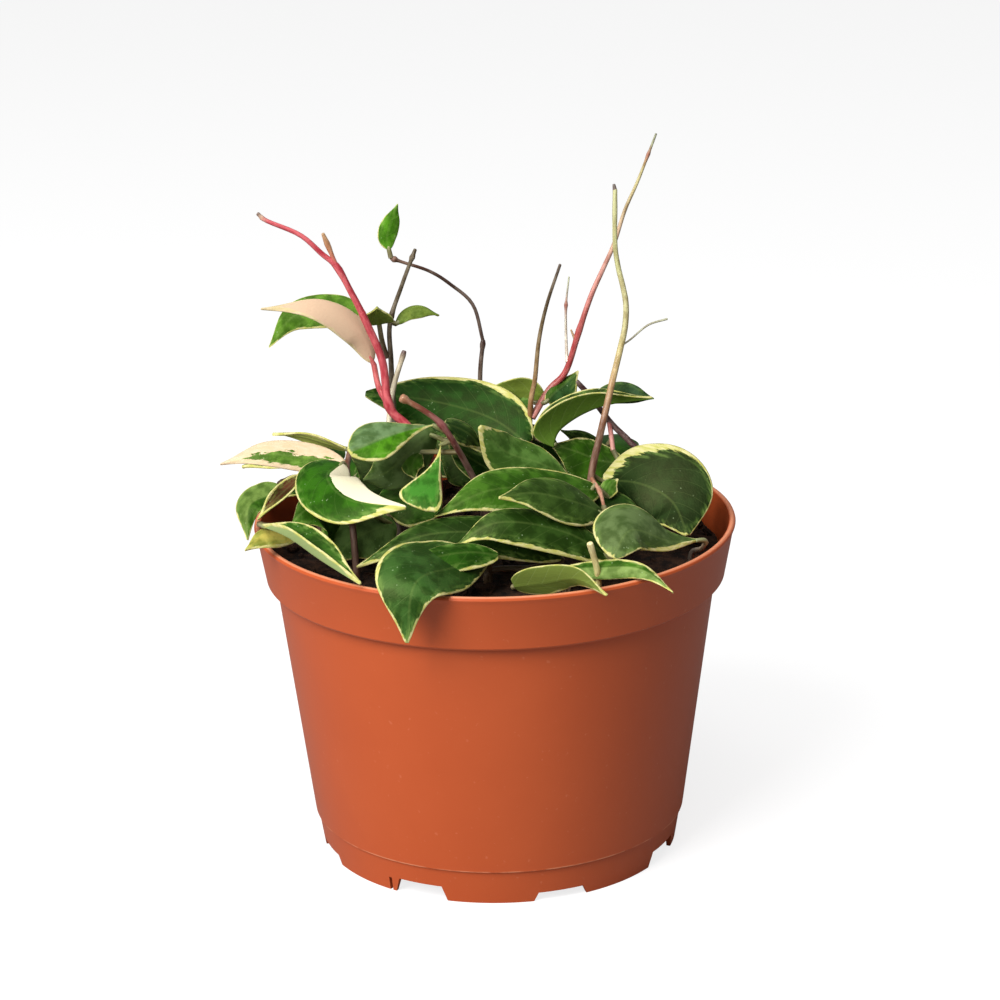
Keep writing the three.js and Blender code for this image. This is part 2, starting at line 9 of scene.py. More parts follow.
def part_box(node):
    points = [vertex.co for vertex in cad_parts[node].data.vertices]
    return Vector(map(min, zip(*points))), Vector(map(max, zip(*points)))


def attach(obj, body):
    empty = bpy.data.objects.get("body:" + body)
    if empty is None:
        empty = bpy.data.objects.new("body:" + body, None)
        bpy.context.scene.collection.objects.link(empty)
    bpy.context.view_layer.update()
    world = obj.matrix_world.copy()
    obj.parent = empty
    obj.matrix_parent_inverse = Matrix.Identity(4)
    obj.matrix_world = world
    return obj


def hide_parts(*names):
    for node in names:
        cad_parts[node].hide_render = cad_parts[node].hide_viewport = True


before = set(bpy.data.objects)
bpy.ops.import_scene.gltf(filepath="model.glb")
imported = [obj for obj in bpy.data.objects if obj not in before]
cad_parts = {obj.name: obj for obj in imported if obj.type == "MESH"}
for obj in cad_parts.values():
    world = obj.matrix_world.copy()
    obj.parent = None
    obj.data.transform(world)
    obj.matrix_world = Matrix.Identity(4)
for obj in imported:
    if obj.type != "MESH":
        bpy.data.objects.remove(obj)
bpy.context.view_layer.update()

# Camera. The photograph looks down on the pot a little, from straight in front and with a long
# lens, so the rim shows as a flat ellipse and the sides of the pot hardly draw in.
MM = 0.001
pot_low, pot_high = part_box("pot")
pot_axis = Vector(((pot_low.x + pot_high.x) / 2, (pot_low.y + pot_high.y) / 2, pot_low.z))


def on_plant(x, y, z):
    """A point of the plant, in millimetres from the pot's axis and foot, in the frame."""
    return pot_axis + MM * Vector((x, y, z))


# The distance and the aim are in millimetres, and the focal length is in pixels of the photograph.
VIEW_DISTANCE = 1100
VIEW_AIM = 109.1
VIEW_DOWN = math.radians(18.376)
VIEW_ROLL = math.radians(-0.928)
VIEW_FOCAL = 3304.4
VIEW_PIXELS = 1000
SENSOR_WIDTH = 36
FARTHEST_SEEN = 50
across = Vector((1, 0, 0))
upward = Vector((0, math.sin(VIEW_DOWN), math.cos(VIEW_DOWN)))
back = Vector((0, -math.cos(VIEW_DOWN), math.sin(VIEW_DOWN)))
view_right = math.cos(VIEW_ROLL) * across + math.sin(VIEW_ROLL) * upward
view_up = math.cos(VIEW_ROLL) * upward - math.sin(VIEW_ROLL) * across
eye = VIEW_DISTANCE * back + VIEW_AIM * view_up
camera_data = bpy.data.cameras.new("camera")
camera_data.sensor_width = SENSOR_WIDTH
camera_data.lens = SENSOR_WIDTH * VIEW_FOCAL / VIEW_PIXELS
camera_data.clip_end = FARTHEST_SEEN
camera = bpy.data.objects.new("camera", camera_data)
bpy.context.scene.collection.objects.link(camera)
turned_to_plant = Matrix((view_right, view_up, back)).transposed().to_4x4()
camera.matrix_world = Matrix.Translation(on_plant(*eye)) @ turned_to_plant
bpy.context.scene.camera = camera

# Pot. One thin shell of satin polypropylene, injection moulded: a wide rolled band and lip over a
# tapering wall, a ridge where the stacking foot starts, and notches and drain holes for water.
POT_HEIGHT = 109.6
RIM_RADIUS = 77.5
FOOT_RADIUS = 58.2
RIDGE_HEIGHT = 11.7
WALL = 1.3
BASE_UNDERSIDE = 6
BASE_TOP = 7.4
NOTCHES = 8
NOTCH_FIRST = -25.8
NOTCH_HEIGHTS = (5, 3)
NOTCH_WIDTH = 15
NOTCH_LENGTH = 24
NOTCH_INSIDE = 6
NOTCH_FLARE = 1.3
SLIT_BEARING = -36.6
SLIT_WIDTH = 1.1
SLIT_LENGTH = 10
SLIT_HEIGHT = 4.6
CUT_BELOW = 2
DRAIN_CIRCLE = 46
DRAIN_RADIUS = 4


def paint(red, green, blue):
    """A colour as the eye sees it, each channel 0 to 255, turned into a shader's linear one."""
    shares = [channel / 255 for channel in (red, green, blue)]
    linear = [s / 12.92 if s <= 0.04045 else ((s + 0.055) / 1.055) ** 2.4 for s in shares]
    return (*linear, 1)


def add_node(tree, kind, settings=None, **inputs):
    """A shader node; an input is a value, or the socket that feeds it."""
    made = tree.nodes.new(kind)
    for name, value in (settings or {}).items():
        setattr(made, name, value)
    for name, value in inputs.items():
        key = int(name[1:]) if name[0] == "_" else name.replace("_", " ")
        if isinstance(value, bpy.types.NodeSocket):
            tree.links.new(value, made.inputs[key])
        else:
            made.inputs[key].default_value = value
    return made


def math_node(tree, operation, first, second=0.5, third=0.0):
    settings = {"operation": operation}
    return add_node(tree, "ShaderNodeMath", settings, _0=first, _1=second, _2=third).outputs[0]


def times(tree, first, second):
    return math_node(tree, "MULTIPLY", first, second)


def cloudy(tree, place, scale, detail=2.0, roughness=0.5):
    """Soft random patches, mostly 0.3 to 0.7."""
    made = add_node(tree, "ShaderNodeTexNoise", None, Vector=place, Scale=scale, Detail=detail,
                    Roughness=roughness)
    return made.outputs["Fac"]


def ramp_between(tree, value, low, high):
    """0 at low, 1 at high and smooth between; low may be the larger."""
    settings = {"interpolation_type": "SMOOTHSTEP"}
    made = add_node(tree, "ShaderNodeMapRange", settings, Value=value)
    made.inputs["From Min"].default_value = low
    made.inputs["From Max"].default_value = high
    return made.outputs["Result"]


def mix_colours(tree, share, first, second, blend="MIX"):
    settings = {"data_type": "RGBA", "blend_type": blend}
    made = add_node(tree, "ShaderNodeMix", settings, _0=share, _6=first, _7=second)
    return made.outputs[2]


def new_material(name, **values):
    """A material, its tree and its shader, with the plain values set on the shader."""
    material = bpy.data.materials.new(name)
    material.use_nodes = True
    shader = material.node_tree.nodes["Principled BSDF"]
    for key, value in values.items():
        shader.inputs[key.replace("_", " ")].default_value = value
    return material, material.node_tree, shader


def add_bump(tree, shader, height, strength, distance):
    made = add_node(tree, "ShaderNodeBump", None, Strength=strength, Distance=distance, Height=height)
    tree.links.new(made.outputs["Normal"], shader.inputs["Normal"])


def mottle_group():
    """Uneven colour and fine grain, as on moulded plastic, bark and peat."""
    group = bpy.data.node_groups.new("mottle", "ShaderNodeTree")
    face = group.interface
    face.new_socket("Place", in_out="INPUT", socket_type="NodeSocketVector")
    face.new_socket("Patches", in_out="INPUT", socket_type="NodeSocketFloat")
    face.new_socket("Grains", in_out="INPUT", socket_type="NodeSocketFloat")
    face.new_socket("Tint", in_out="OUTPUT", socket_type="NodeSocketFloat")
    face.new_socket("Grain", in_out="OUTPUT", socket_type="NodeSocketFloat")
    given = group.nodes.new("NodeGroupInput").outputs
    result = group.nodes.new("NodeGroupOutput").inputs
    patches = cloudy(group, given["Place"], given["Patches"], detail=4.0, roughness=0.55)
    grains = cloudy(group, given["Place"], given["Grains"], detail=3.0, roughness=0.6)
    group.links.new(patches, result["Tint"])
    group.links.new(grains, result["Grain"])
    return group


mottle = mottle_group()


def mottled(tree, place, patches, grains):
    """The mottle group in a material: its Tint and Grain."""
    made = add_node(tree, "ShaderNodeGroup", {"node_tree": mottle}, Place=place, Patches=patches,
                    Grains=grains)
    return made.outputs["Tint"], made.outputs["Grain"]


def pot_plastic():
    """Uneven satin plastic with pale dust; a scuffed, lighter ridge that also carries a painted
    highlight, and a painted highlight along the lip.
    """
    material, tree, shader = new_material("pot_plastic", Specular_IOR_Level=0.4)
    place = add_node(tree, "ShaderNodeTexCoord").outputs["Object"]
    tint, grain = mottled(tree, place, patches=22.0, grains=900.0)
    base = mix_colours(tree, tint, paint(184, 78, 34), paint(198, 90, 44))
    dust = ramp_between(tree, cloudy(tree, place, 520.0), 0.68, 0.78)
    colour = mix_colours(tree, times(tree, dust, 0.18), base, paint(226, 150, 116))
    height = add_node(tree, "ShaderNodeSeparateXYZ", None, Vector=place).outputs["Z"]
    # A ragged lighter line round the ridge is partly scuffs and partly a painted highlight; the lighter
    # flat top of the lip is a painted highlight.
    ridge = math_node(
        tree, "SUBTRACT",
        ramp_between(tree, height, (RIDGE_HEIGHT - 0.6) * MM, (RIDGE_HEIGHT - 0.2) * MM),
        ramp_between(tree, height, (RIDGE_HEIGHT + 0.1) * MM, (RIDGE_HEIGHT + 0.4) * MM))
    ridge_scuffs_and_highlight = ramp_between(tree, cloudy(tree, place, 130.0, detail=3.0), 0.4, 0.6)
    lip_highlight = ramp_between(tree, height, (POT_HEIGHT - 0.4) * MM, (POT_HEIGHT - 0.05) * MM)
    scuffs_and_highlights = math_node(tree, "MAXIMUM", times(tree, ridge, ridge_scuffs_and_highlight), lip_highlight)
    colour = mix_colours(tree, times(tree, scuffs_and_highlights, 0.55), colour, paint(240, 168, 128))
    tree.links.new(colour, shader.inputs["Base Color"])
    sheen = math_node(tree, "MULTIPLY_ADD", tint, 0.16, 0.34)
    tree.links.new(sheen, shader.inputs["Roughness"])
    add_bump(tree, shader, grain, strength=0.12, distance=0.0002)
    return material


def piece_from(bm, name, materials, smooth_angle=40):
    """The finished mesh as an object at the origin, smooth but for its sharp edges."""
    mesh = bpy.data.meshes.new(name)
    bm.to_mesh(mesh)
    bm.free()
    for material in materials:
        mesh.materials.append(material)
    mesh.shade_smooth()
    mesh.set_sharp_from_angle(angle=math.radians(smooth_angle))
    piece = bpy.data.objects.new(name, mesh)
    bpy.context.scene.collection.objects.link(piece)
    return piece


def turned(section, steps):
    """A shape turned about the pot's axis from its section, radius and height."""
    bm = bmesh.new()
    line = [bm.verts.new(on_plant(radius, 0, height)) for radius, height in section]
    edges = [bm.edges.new(pair) for pair in zip(line, line[1:])]
    bmesh.ops.spin(bm, geom=line + edges, cent=pot_axis, axis=(0, 0, 1), angle=math.tau,
                   steps=steps, use_merge=True)
    bmesh.ops.remove_doubles(bm, verts=bm.verts, dist=1e-6)
    bmesh.ops.recalc_face_normals(bm, faces=bm.faces)
    return bm


def applied(piece):
    """The piece with its modifiers made part of its mesh."""
    seen = piece.evaluated_get(bpy.context.evaluated_depsgraph_get())
    final = bpy.data.meshes.new_from_object(seen)
    piece.modifiers.clear()
    piece.data = final
    return piece


def turned_by(bearing):
    """The pot's place, turned about its axis by so many degrees from the front."""
    return Matrix.Translation(pot_axis) @ Matrix.Rotation(math.radians(bearing), 4, "Z")


def foot_block(bm, place, width, length, height, inside=0):
    """A block that cuts the foot up to a height, its middle so far inside the foot's outer edge."""
    middle = Matrix.Translation(MM * Vector((0, inside - FOOT_RADIUS, (height - CUT_BELOW) / 2)))
    size = Matrix.Diagonal(MM * Vector((width, length, height + CUT_BELOW))).to_4x4()
    return bmesh.ops.create_cube(bm, size=1, matrix=place @ middle @ size)["verts"]


pot_section = [
    (0, BASE_UNDERSIDE), (FOOT_RADIUS - WALL, BASE_UNDERSIDE), (FOOT_RADIUS - WALL, 0),
    (FOOT_RADIUS, 0), (60, 11.2), (60.75, RIDGE_HEIGHT), (60.8, 12.2), (60.9, 12.8), (71, 90.4),
    (71.6, 90.9), (73.6, 91.3), (74.1, 91.9), (76.8, 106.9), (77.2, 107.8), (RIM_RADIUS, 108.6),
    (77.3, 109.2), (76.7, POT_HEIGHT), (76.1, POT_HEIGHT), (75.5, 109.2), (72.4, 92.4),
    (69.6, 90), (59.4, 12.3), (58.8, BASE_TOP), (0, BASE_TOP),
]
pot = piece_from(turned(pot_section, 160), "pot_shell", [pot_plastic()])
cutters = bmesh.new()
for k in range(NOTCHES):
    place = turned_by(NOTCH_FIRST + k * 360 / NOTCHES)
    height = NOTCH_HEIGHTS[k % 2]
    # Each notch widens towards the ground.
    for vert in foot_block(cutters, place, NOTCH_WIDTH, NOTCH_LENGTH, height, NOTCH_INSIDE):
        if vert.co.z < pot_axis.z:
            outward = place.inverted() @ vert.co
            outward.x *= NOTCH_FLARE
            vert.co = place @ outward
    drain = place @ Matrix.Translation(MM * Vector((0, -DRAIN_CIRCLE, BASE_UNDERSIDE)))
    bmesh.ops.create_cone(cutters, cap_ends=True, segments=32, radius1=DRAIN_RADIUS * MM,
                          radius2=DRAIN_RADIUS * MM, depth=6 * MM, matrix=drain)
foot_block(cutters, turned_by(SLIT_BEARING), SLIT_WIDTH, SLIT_LENGTH, SLIT_HEIGHT)
cutter = piece_from(cutters, "pot_cutter", [])
cut = pot.modifiers.new("notches", "BOOLEAN")
cut.object = cutter
cut.solver = "EXACT"
applied(pot)
bpy.data.objects.remove(cutter)
pot.data.shade_smooth()
pot.data.set_sharp_from_angle(angle=math.radians(28))
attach(pot, "root")
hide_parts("pot")

# Soil. Dark peat, filled to about a centimetre below the rim and sunk a little at the edge, with
# crumbs, bark and straws lying loose on it.
SOIL_MIDDLE = 101.5
SOIL_EDGE = 99
SOIL_RADIUS = 72.2
SOIL_RINGS = 30
LUMP_HEIGHT = 1.3
LUMPS_FROM = 98
CRUMBS = 420
CRUMBS_OUT = 70
CRUMB_SIZES = (0.5, 0.7, 0.9, 1.3, 1.8)
STRAWS = 70
STRAWS_OUT = 68
STRAW_LENGTHS = (4, 13)


def dotted(tree, place, scale):
    """How far it is to the nearest of many scattered dots: 0 on a dot."""
    return add_node(tree, "ShaderNodeTexVoronoi", None, Vector=place, Scale=scale).outputs["Distance"]


def peat():
    """Damp and dry patches of dark peat with paler fibres in it."""
    material, tree, shader = new_material("peat", Roughness=0.95, Specular_IOR_Level=0.2)
    place = add_node(tree, "ShaderNodeTexCoord").outputs["Object"]
    tint, grain = mottled(tree, place, patches=260.0, grains=1600.0)
    colour = mix_colours(tree, ramp_between(tree, tint, 0.35, 0.65), paint(24, 16, 11),
                         paint(66, 44, 30))
    fibres = ramp_between(tree, dotted(tree, place, 420.0), 0.16, 0.06)
    colour = mix_colours(tree, times(tree, fibres, 0.5), colour, paint(112, 82, 58))
    tree.links.new(colour, shader.inputs["Base Color"])
    add_bump(tree, shader, grain, strength=0.9, distance=0.0012)
    return material


def soil_height(radius):
    return SOIL_MIDDLE - (SOIL_MIDDLE - SOIL_EDGE) * (radius / SOIL_RADIUS) ** 2


def scattered(out, height=None):
    """A place drawn at random on the soil, even over a disc, at a height or on its surface."""
    way = random.uniform(0, math.tau)
    far = out * math.sqrt(random.random())
    return on_plant(far * math.sin(way), far * math.cos(way), height or soil_height(far))


soil_section = [(0, 7.8), (58.4, 7.8), (59, 12.3), (69.2, 90), (71.9, 93), (SOIL_RADIUS, SOIL_EDGE)]
for k in range(1, SOIL_RINGS + 1):
    radius = SOIL_RADIUS * (1 - k / SOIL_RINGS)
    soil_section.append((radius, soil_height(radius)))
soil_mesh = turned(soil_section, 120)
for vert in soil_mesh.verts:
    if vert.co.z > pot_axis.z + LUMPS_FROM * MM:
        vert.co.z += LUMP_HEIGHT * MM * noise.fractal(vert.co * 90, 0.8, 2.2, 3)
soil_top = piece_from(soil_mesh, "soil_top", [peat()], 60)
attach(soil_top, "root")
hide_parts("soil")

random.seed(23)
crumbs = bmesh.new()
for k in range(CRUMBS):
    middle = scattered(CRUMBS_OUT)
    size = random.choice(CRUMB_SIZES)
    place = Matrix.Translation(middle + Vector((0, 0, 0.3 * size * MM)))
    place = place @ Matrix.Rotation(random.uniform(0, 3), 4, (random.random(), random.random(), 1))
    shape = Vector((random.uniform(0.8, 1.8), random.uniform(0.6, 1.1), random.uniform(0.5, 0.9)))
    bmesh.ops.create_icosphere(crumbs, subdivisions=1, radius=1,
                               matrix=place @ Matrix.Diagonal(MM * size * shape).to_4x4())
for k in range(STRAWS):
    middle = scattered(STRAWS_OUT, SOIL_MIDDLE - 0.2)
    long = random.uniform(*STRAW_LENGTHS)
    place = Matrix.Translation(middle) @ Matrix.Rotation(random.uniform(0, math.tau), 4, "Z")
    place = place @ Matrix.Rotation(random.uniform(1.35, 1.7), 4, "X")
    bmesh.ops.create_cone(crumbs, cap_ends=True, segments=5, radius1=random.uniform(0.2, 0.5) * MM,
                          radius2=0.15 * MM, depth=long * MM, matrix=place)
loose_peat = piece_from(crumbs, "loose_peat", [peat()], 30)
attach(loose_peat, "root")

# Crimson leader. The strongest young shoot, red and juicy, that rises from the left of the pot and
# ends in a bud. It carries one pink leaf that has no green in it, on a long red petiole, and one
# green leaf low down.
SHOOT_START = 104
ROOT_SHOWN = 9
SHOOT_SIDES = 10
PETIOLE_SIDES = 8
PETIOLE_RADII = (0.9, 0.7)
RING_SPACING = 1.6
LONG_LEAF = 24
LEAF_THICKNESS = 1.25
LEAF_THINS_BY = 0.65
RIB_CHANNEL = 0.12
LEAF_MARKS = ("edge", "cream", "under", "blush", "patchy")


def placed(point):
    """A point picked on the photograph, or guessed where leaves cover a shoot: its pixel across
    and down and how far it lies behind the pot's axis in millimetres, in the frame. One of two
    numbers is a place on the soil."""
    if isinstance(point, Vector):
        return point
    if len(point) == 2:
        return on_plant(*point, SHOOT_START)
    column, row, behind = point
    half = VIEW_PIXELS / 2
    sight = ((column - half) * view_right + (half - row) * view_up) / VIEW_FOCAL - back
    return on_plant(*(eye + sight * (behind - eye.y) / sight.y))


def along(points, share):
    """A smooth run through the points, and the way it heads there."""
    ends = [2 * points[0] - points[1], *points, 2 * points[-1] - points[-2]]
    far = min(max(share, 0), 1) * (len(points) - 1)
    k = min(int(far), len(points) - 2)
    s = far - k
    a, b, c, d = ends[k:k + 4]
    here = (2 * b + (c - a) * s + (2 * a - 5 * b + 4 * c - d) * s**2 + (3 * b - a - 3 * c + d) * s**3) / 2
    heading = (c - a) + 2 * (2 * a - 5 * b + 4 * c - d) * s + 3 * (3 * b - a - 3 * c + d) * s**2
    return here, heading.normalized()


def spread(values, share):
    """The value part of the way along a list of numbers or colours."""
    far = min(max(share, 0), 1) * (len(values) - 1)
    k = min(int(far), len(values) - 2)
    first, second = values[k], values[k + 1]
    if isinstance(first, tuple):
        return tuple(p + (q - p) * (far - k) for p, q in zip(first, second))
    return first + (second - first) * (far - k)


def length_of(points):
    steps = [along(points, k / 24)[0] for k in range(25)]
    return sum((q - p).length for p, q in zip(steps, steps[1:]))


def attribute(tree, name, output="Fac"):
    """What each spot of a shoot or leaf carries under this name."""
    return add_node(tree, "ShaderNodeAttribute", {"attribute_name": name}).outputs[output]


def shoot_skin():
    """Smooth young bark: its own colour along the shoot, streaked and with small pale pores."""
    material, tree, shader = new_material("shoot_skin", Roughness=0.42, Coat_Weight=0.12)
    skin = attribute(tree, "skin", "Color")
    place = attribute(tree, "place", "Vector")
    tint, grain = mottled(tree, place, patches=0.55, grains=2.6)
    dark = mix_colours(tree, 1.0, skin, paint(214, 202, 196), "MULTIPLY")
    light = mix_colours(tree, 0.1, skin, paint(255, 236, 214))
    colour = mix_colours(tree, ramp_between(tree, tint, 0.36, 0.64), dark, light)
    pores = ramp_between(tree, dotted(tree, place, 0.9), 0.2, 0.1)
    colour = mix_colours(tree, times(tree, pores, 0.12), colour, paint(226, 206, 176))
    tree.links.new(colour, shader.inputs["Base Color"])
    add_bump(tree, shader, grain, strength=0.35, distance=0.0004)
    return material


def waxy_leaf():
    """A hoya blade: dark green core, grey-green flames, a ragged cream edge and silver flecks."""
    material, tree, shader = new_material("waxy_leaf", Specular_IOR_Level=0.22,
                                          Specular_Tint=paint(235, 245, 165))
    place = attribute(tree, "place", "Vector")
    tone = attribute(tree, "tone", "Color")
    under_tone = attribute(tree, "under_tone", "Color")
    edge, cream, under, blush, patchy = (attribute(tree, name) for name in LEAF_MARKS)
    stretched = add_node(tree, "ShaderNodeMapping", None, Vector=place,
                         Scale=(0.16, 0.5, 1.0)).outputs["Vector"]
    flames = cloudy(tree, stretched, 1.0, detail=4.0, roughness=0.6)
    ragged = times(tree, math_node(tree, "MULTIPLY_ADD", flames, 2.6, -1.3),
                   math_node(tree, "MULTIPLY_ADD", cream, 0.7, 0.35))
    border = math_node(tree, "ADD", math_node(tree, "SUBTRACT", edge, cream), ragged)
    green = ramp_between(tree, border, -0.22, 0.16)
    outer = math_node(tree, "SUBTRACT", 1.0, ramp_between(tree, border, 0.3, 2.6))
    patches = cloudy(tree, stretched, 2.2, detail=3.0)
    mottling = times(tree, times(tree, outer, ramp_between(tree, patches, 0.4, 0.62)), patchy)
    body = mix_colours(tree, mottling, tone, mix_colours(tree, 0.35, tone, paint(140, 172, 84)))
    deeper = mix_colours(tree, 1.0, body, paint(172, 186, 160), "MULTIPLY")
    shade = ramp_between(tree, cloudy(tree, place, 0.22, detail=3.0), 0.62, 0.38)
    body = mix_colours(tree, times(tree, shade, patchy), body, deeper)
    flecks = times(tree, ramp_between(tree, dotted(tree, place, 0.75), 0.2, 0.1),
                   ramp_between(tree, cloudy(tree, place, 0.3), 0.56, 0.66))
    silver = times(tree, times(tree, flecks, patchy), 0.4)
    body = mix_colours(tree, silver, body, paint(176, 200, 150))
    cut = add_node(tree, "ShaderNodeSeparateXYZ", None, Vector=place)
    side = math_node(tree, "ABSOLUTE", cut.outputs["Y"])
    rib = times(tree, ramp_between(tree, side, 0.55, 0.1), patchy)
    body = mix_colours(tree, times(tree, rib, 0.1), body, paint(142, 166, 88))
    slant = math_node(tree, "SUBTRACT", cut.outputs["X"], times(tree, side, 1.1))
    wave = math_node(tree, "PINGPONG", math_node(tree, "DIVIDE", slant, 5.5), 0.5)
    vein = times(tree, ramp_between(tree, wave, 0.05, 0.0), patchy)
    body = mix_colours(tree, times(tree, vein, 0.05), body, paint(150, 175, 100))
    lower = mix_colours(tree, times(tree, vein, 0.12), under_tone, paint(178, 196, 132))
    body = mix_colours(tree, under, body, lower)
    pale = mix_colours(tree, ramp_between(tree, patches, 0.35, 0.65), paint(186, 184, 96),
                       paint(214, 206, 146))
    pale = mix_colours(tree, ramp_between(tree, cream, 4.0, 8.0), pale, paint(226, 218, 186))
    pale = mix_colours(tree, blush, pale, paint(228, 190, 176))
    tree.links.new(mix_colours(tree, green, pale, body), shader.inputs["Base Color"])
    gloss = math_node(tree, "MULTIPLY_ADD", under, 0.15, 0.43)
    tree.links.new(gloss, shader.inputs["Roughness"])
    fine = cloudy(tree, place, 1.8, detail=3.0)
    height = math_node(tree, "MULTIPLY_ADD", vein, -0.5, fine)
    add_bump(tree, shader, height, strength=0.22, distance=0.0005)
    return material


skin_material = shoot_skin()
leaf_material = waxy_leaf()
forest = (40, 82, 16)
pale_under = (126, 150, 70)
LOW_LEFT = ((1.1, 0.9, 0.8, 0.9), (0.3, 0.2, 0.2, 0.5))
# A count of shoots, petioles and leaves, so that each has its own part of the patterns.
pieces_grown = 0


def add_shoot(bm, points, first, last, colours, swellings=(), sides=SHOOT_SIDES):
    """One tapered shoot: a ring drawn along its run, with a rounded end and its colour."""
    turn = bm.verts.layers.float["turn"]
    skin = bm.verts.layers.float_color["skin"]
    place = bm.verts.layers.float_vector["place"]
    painted = [paint(*colour) for colour in colours]
    run = [placed(point) for point in points]
    if len(points[0]) == 2:
        run = [run[0] - Vector((0, 0, ROOT_SHOWN * MM)), *run]
    long = length_of(run) / MM
    steps = max(4, round(long / RING_SPACING))
    ring = bmesh.ops.create_circle(bm, cap_ends=True, segments=sides, radius=1)["verts"]
    for vert in ring:
        vert[turn] = math.atan2(vert.co.y, vert.co.x)
    edges = list({edge for vert in ring for edge in vert.link_edges})
    # Any side will do to start with, as it is turned square to the shoot at each ring.
    normal = Vector((0.83, 0.51, 0.22))
    # After the rings of the shoot, three smaller ones round its end.
    stations = [(k / steps, 1.0, 0.0) for k in range(steps + 1)]
    stations += [(1, math.sqrt(1 - (k / 4) ** 2), k / 4) for k in range(1, 4)]
    for number, (share, narrow, past) in enumerate(stations):
        here, heading = along(run, share)
        radius = (first + (last - first) * share) * narrow
        here = here + heading * past * last * MM * 0.8
        for at, size, reach in swellings:
            radius *= 1 + size * math.exp(-(((share - at) * long / reach) ** 2))
        radius *= 1 + 0.02 * noise.noise(here * 700)
        normal = (normal - heading * normal.dot(heading)).normalized()
        over = heading.cross(normal)
        if number:
            grown = bmesh.ops.extrude_edge_only(bm, edges=edges)["geom"]
            ring = [part for part in grown if isinstance(part, bmesh.types.BMVert)]
            fresh = set(ring)
            edges = [part for part in grown if isinstance(part, bmesh.types.BMEdge)
                     and fresh.issuperset(part.verts)]
        for vert in ring:
            vert.co = here + radius * MM * (math.cos(vert[turn]) * normal + math.sin(vert[turn]) * over)
            vert[skin] = spread(painted, share)
            vert[place] = (share * long * 0.35, vert[turn] * radius, pieces_grown * 7.7)
    bmesh.ops.contextual_create(bm, geom=edges)


def add_blade(bm, rib, look, widths, cream=LOW_LEFT, tone=forest, under=pale_under, blush=0.0,
              patchy=1.0, curl=(-20, -20), fold=(0, 0), wide=0.42, pull=0.5, wave=0.35):
    """One leaf: a sheet bent to its midrib, thick at the rib, with its halves curled and folded.
    Look is the bearing and the lift, in degrees, of the way its upper face points, and a list of
    two tones has one for each half."""
    layer = bm.verts.layers
    tones = [paint(*colour) for colour in (tone if isinstance(tone, list) else [tone, tone])]
    under_tone = paint(*under)
    run = [placed(point) for point in rib]
    long = length_of(run) / MM
    rows, columns = (30, 14) if long > LONG_LEAF else (18, 10)
    flat = bmesh.ops.create_grid(bm, x_segments=rows, y_segments=columns, size=0.5)["verts"]
    edges = list({edge for vert in flat for edge in vert.link_edges})
    faces = list({face for vert in flat for face in vert.link_faces})
    raised = bmesh.ops.extrude_face_region(bm, geom=flat + edges + faces, use_keep_orig=True)
    top = [part for part in raised["geom"] if isinstance(part, bmesh.types.BMVert)]
    azimuth, height = (math.radians(angle) for angle in look)
    upper = Vector((math.sin(azimuth) * math.cos(height), -math.cos(azimuth) * math.cos(height),
                    math.sin(height)))
    power = math.log(0.5) / math.log(wide)
    # Here u runs from the base of the leaf to its tip, and v from one edge to the other.
    for level, verts in ((-1, flat), (1, top)):
        for vert in verts:
            t = vert.co.x + 0.5
            u = 0.02 + 0.965 * (0.5 * t + 0.25 * (1 - math.cos(math.pi * t)))
            v = -2 * vert.co.y
            half, side = (0, -1) if v < 0 else (1, 1)
            here, heading = along(run, u)
            normal = (upper - heading * upper.dot(heading)).normalized()
            sideways = heading.cross(normal)
            end = min(max((u - 0.66) / 0.34, 0), 1)
            width = widths[half] * math.sin(math.pi * u**power) ** 0.8
            width *= 1 - pull * end * end * (3 - 2 * end)
            bend, start = math.radians(curl[half]), math.radians(fold[half])
            lean = start + bend * abs(v)
            if bend:
                out = width / bend * (math.sin(lean) - math.sin(start))
                lift = width / bend * (math.cos(start) - math.cos(lean))
            else:
                out = width * abs(v) * math.cos(start)
                lift = width * abs(v) * math.sin(start)
            lift += wave * v * v * math.sin(9 * u + 2.1 * pieces_grown + side)
            thick = (LEAF_THICKNESS - LEAF_THINS_BY * abs(v)) * level / 2
            channel = RIB_CHANNEL if abs(v) < 0.02 else 0
            at = here + MM * side * (out - thick * math.sin(lean)) * sideways
            vert.co = at + MM * (lift + thick * math.cos(lean) - channel) * normal
            vert[layer.float["edge"]] = min(width * (1 - abs(v)), (1 - u) * long * 0.6)
            vert[layer.float["cream"]] = spread(cream[half], u)
            vert[layer.float["under"]] = 0 if level > 0 else 1
            vert[layer.float["blush"]] = blush
            vert[layer.float["patchy"]] = patchy
            vert[layer.float_color["tone"]] = tones[half]
            vert[layer.float_color["under_tone"]] = under_tone
            vert[layer.float_vector["place"]] = (u * long, v * width, pieces_grown * 11.3)


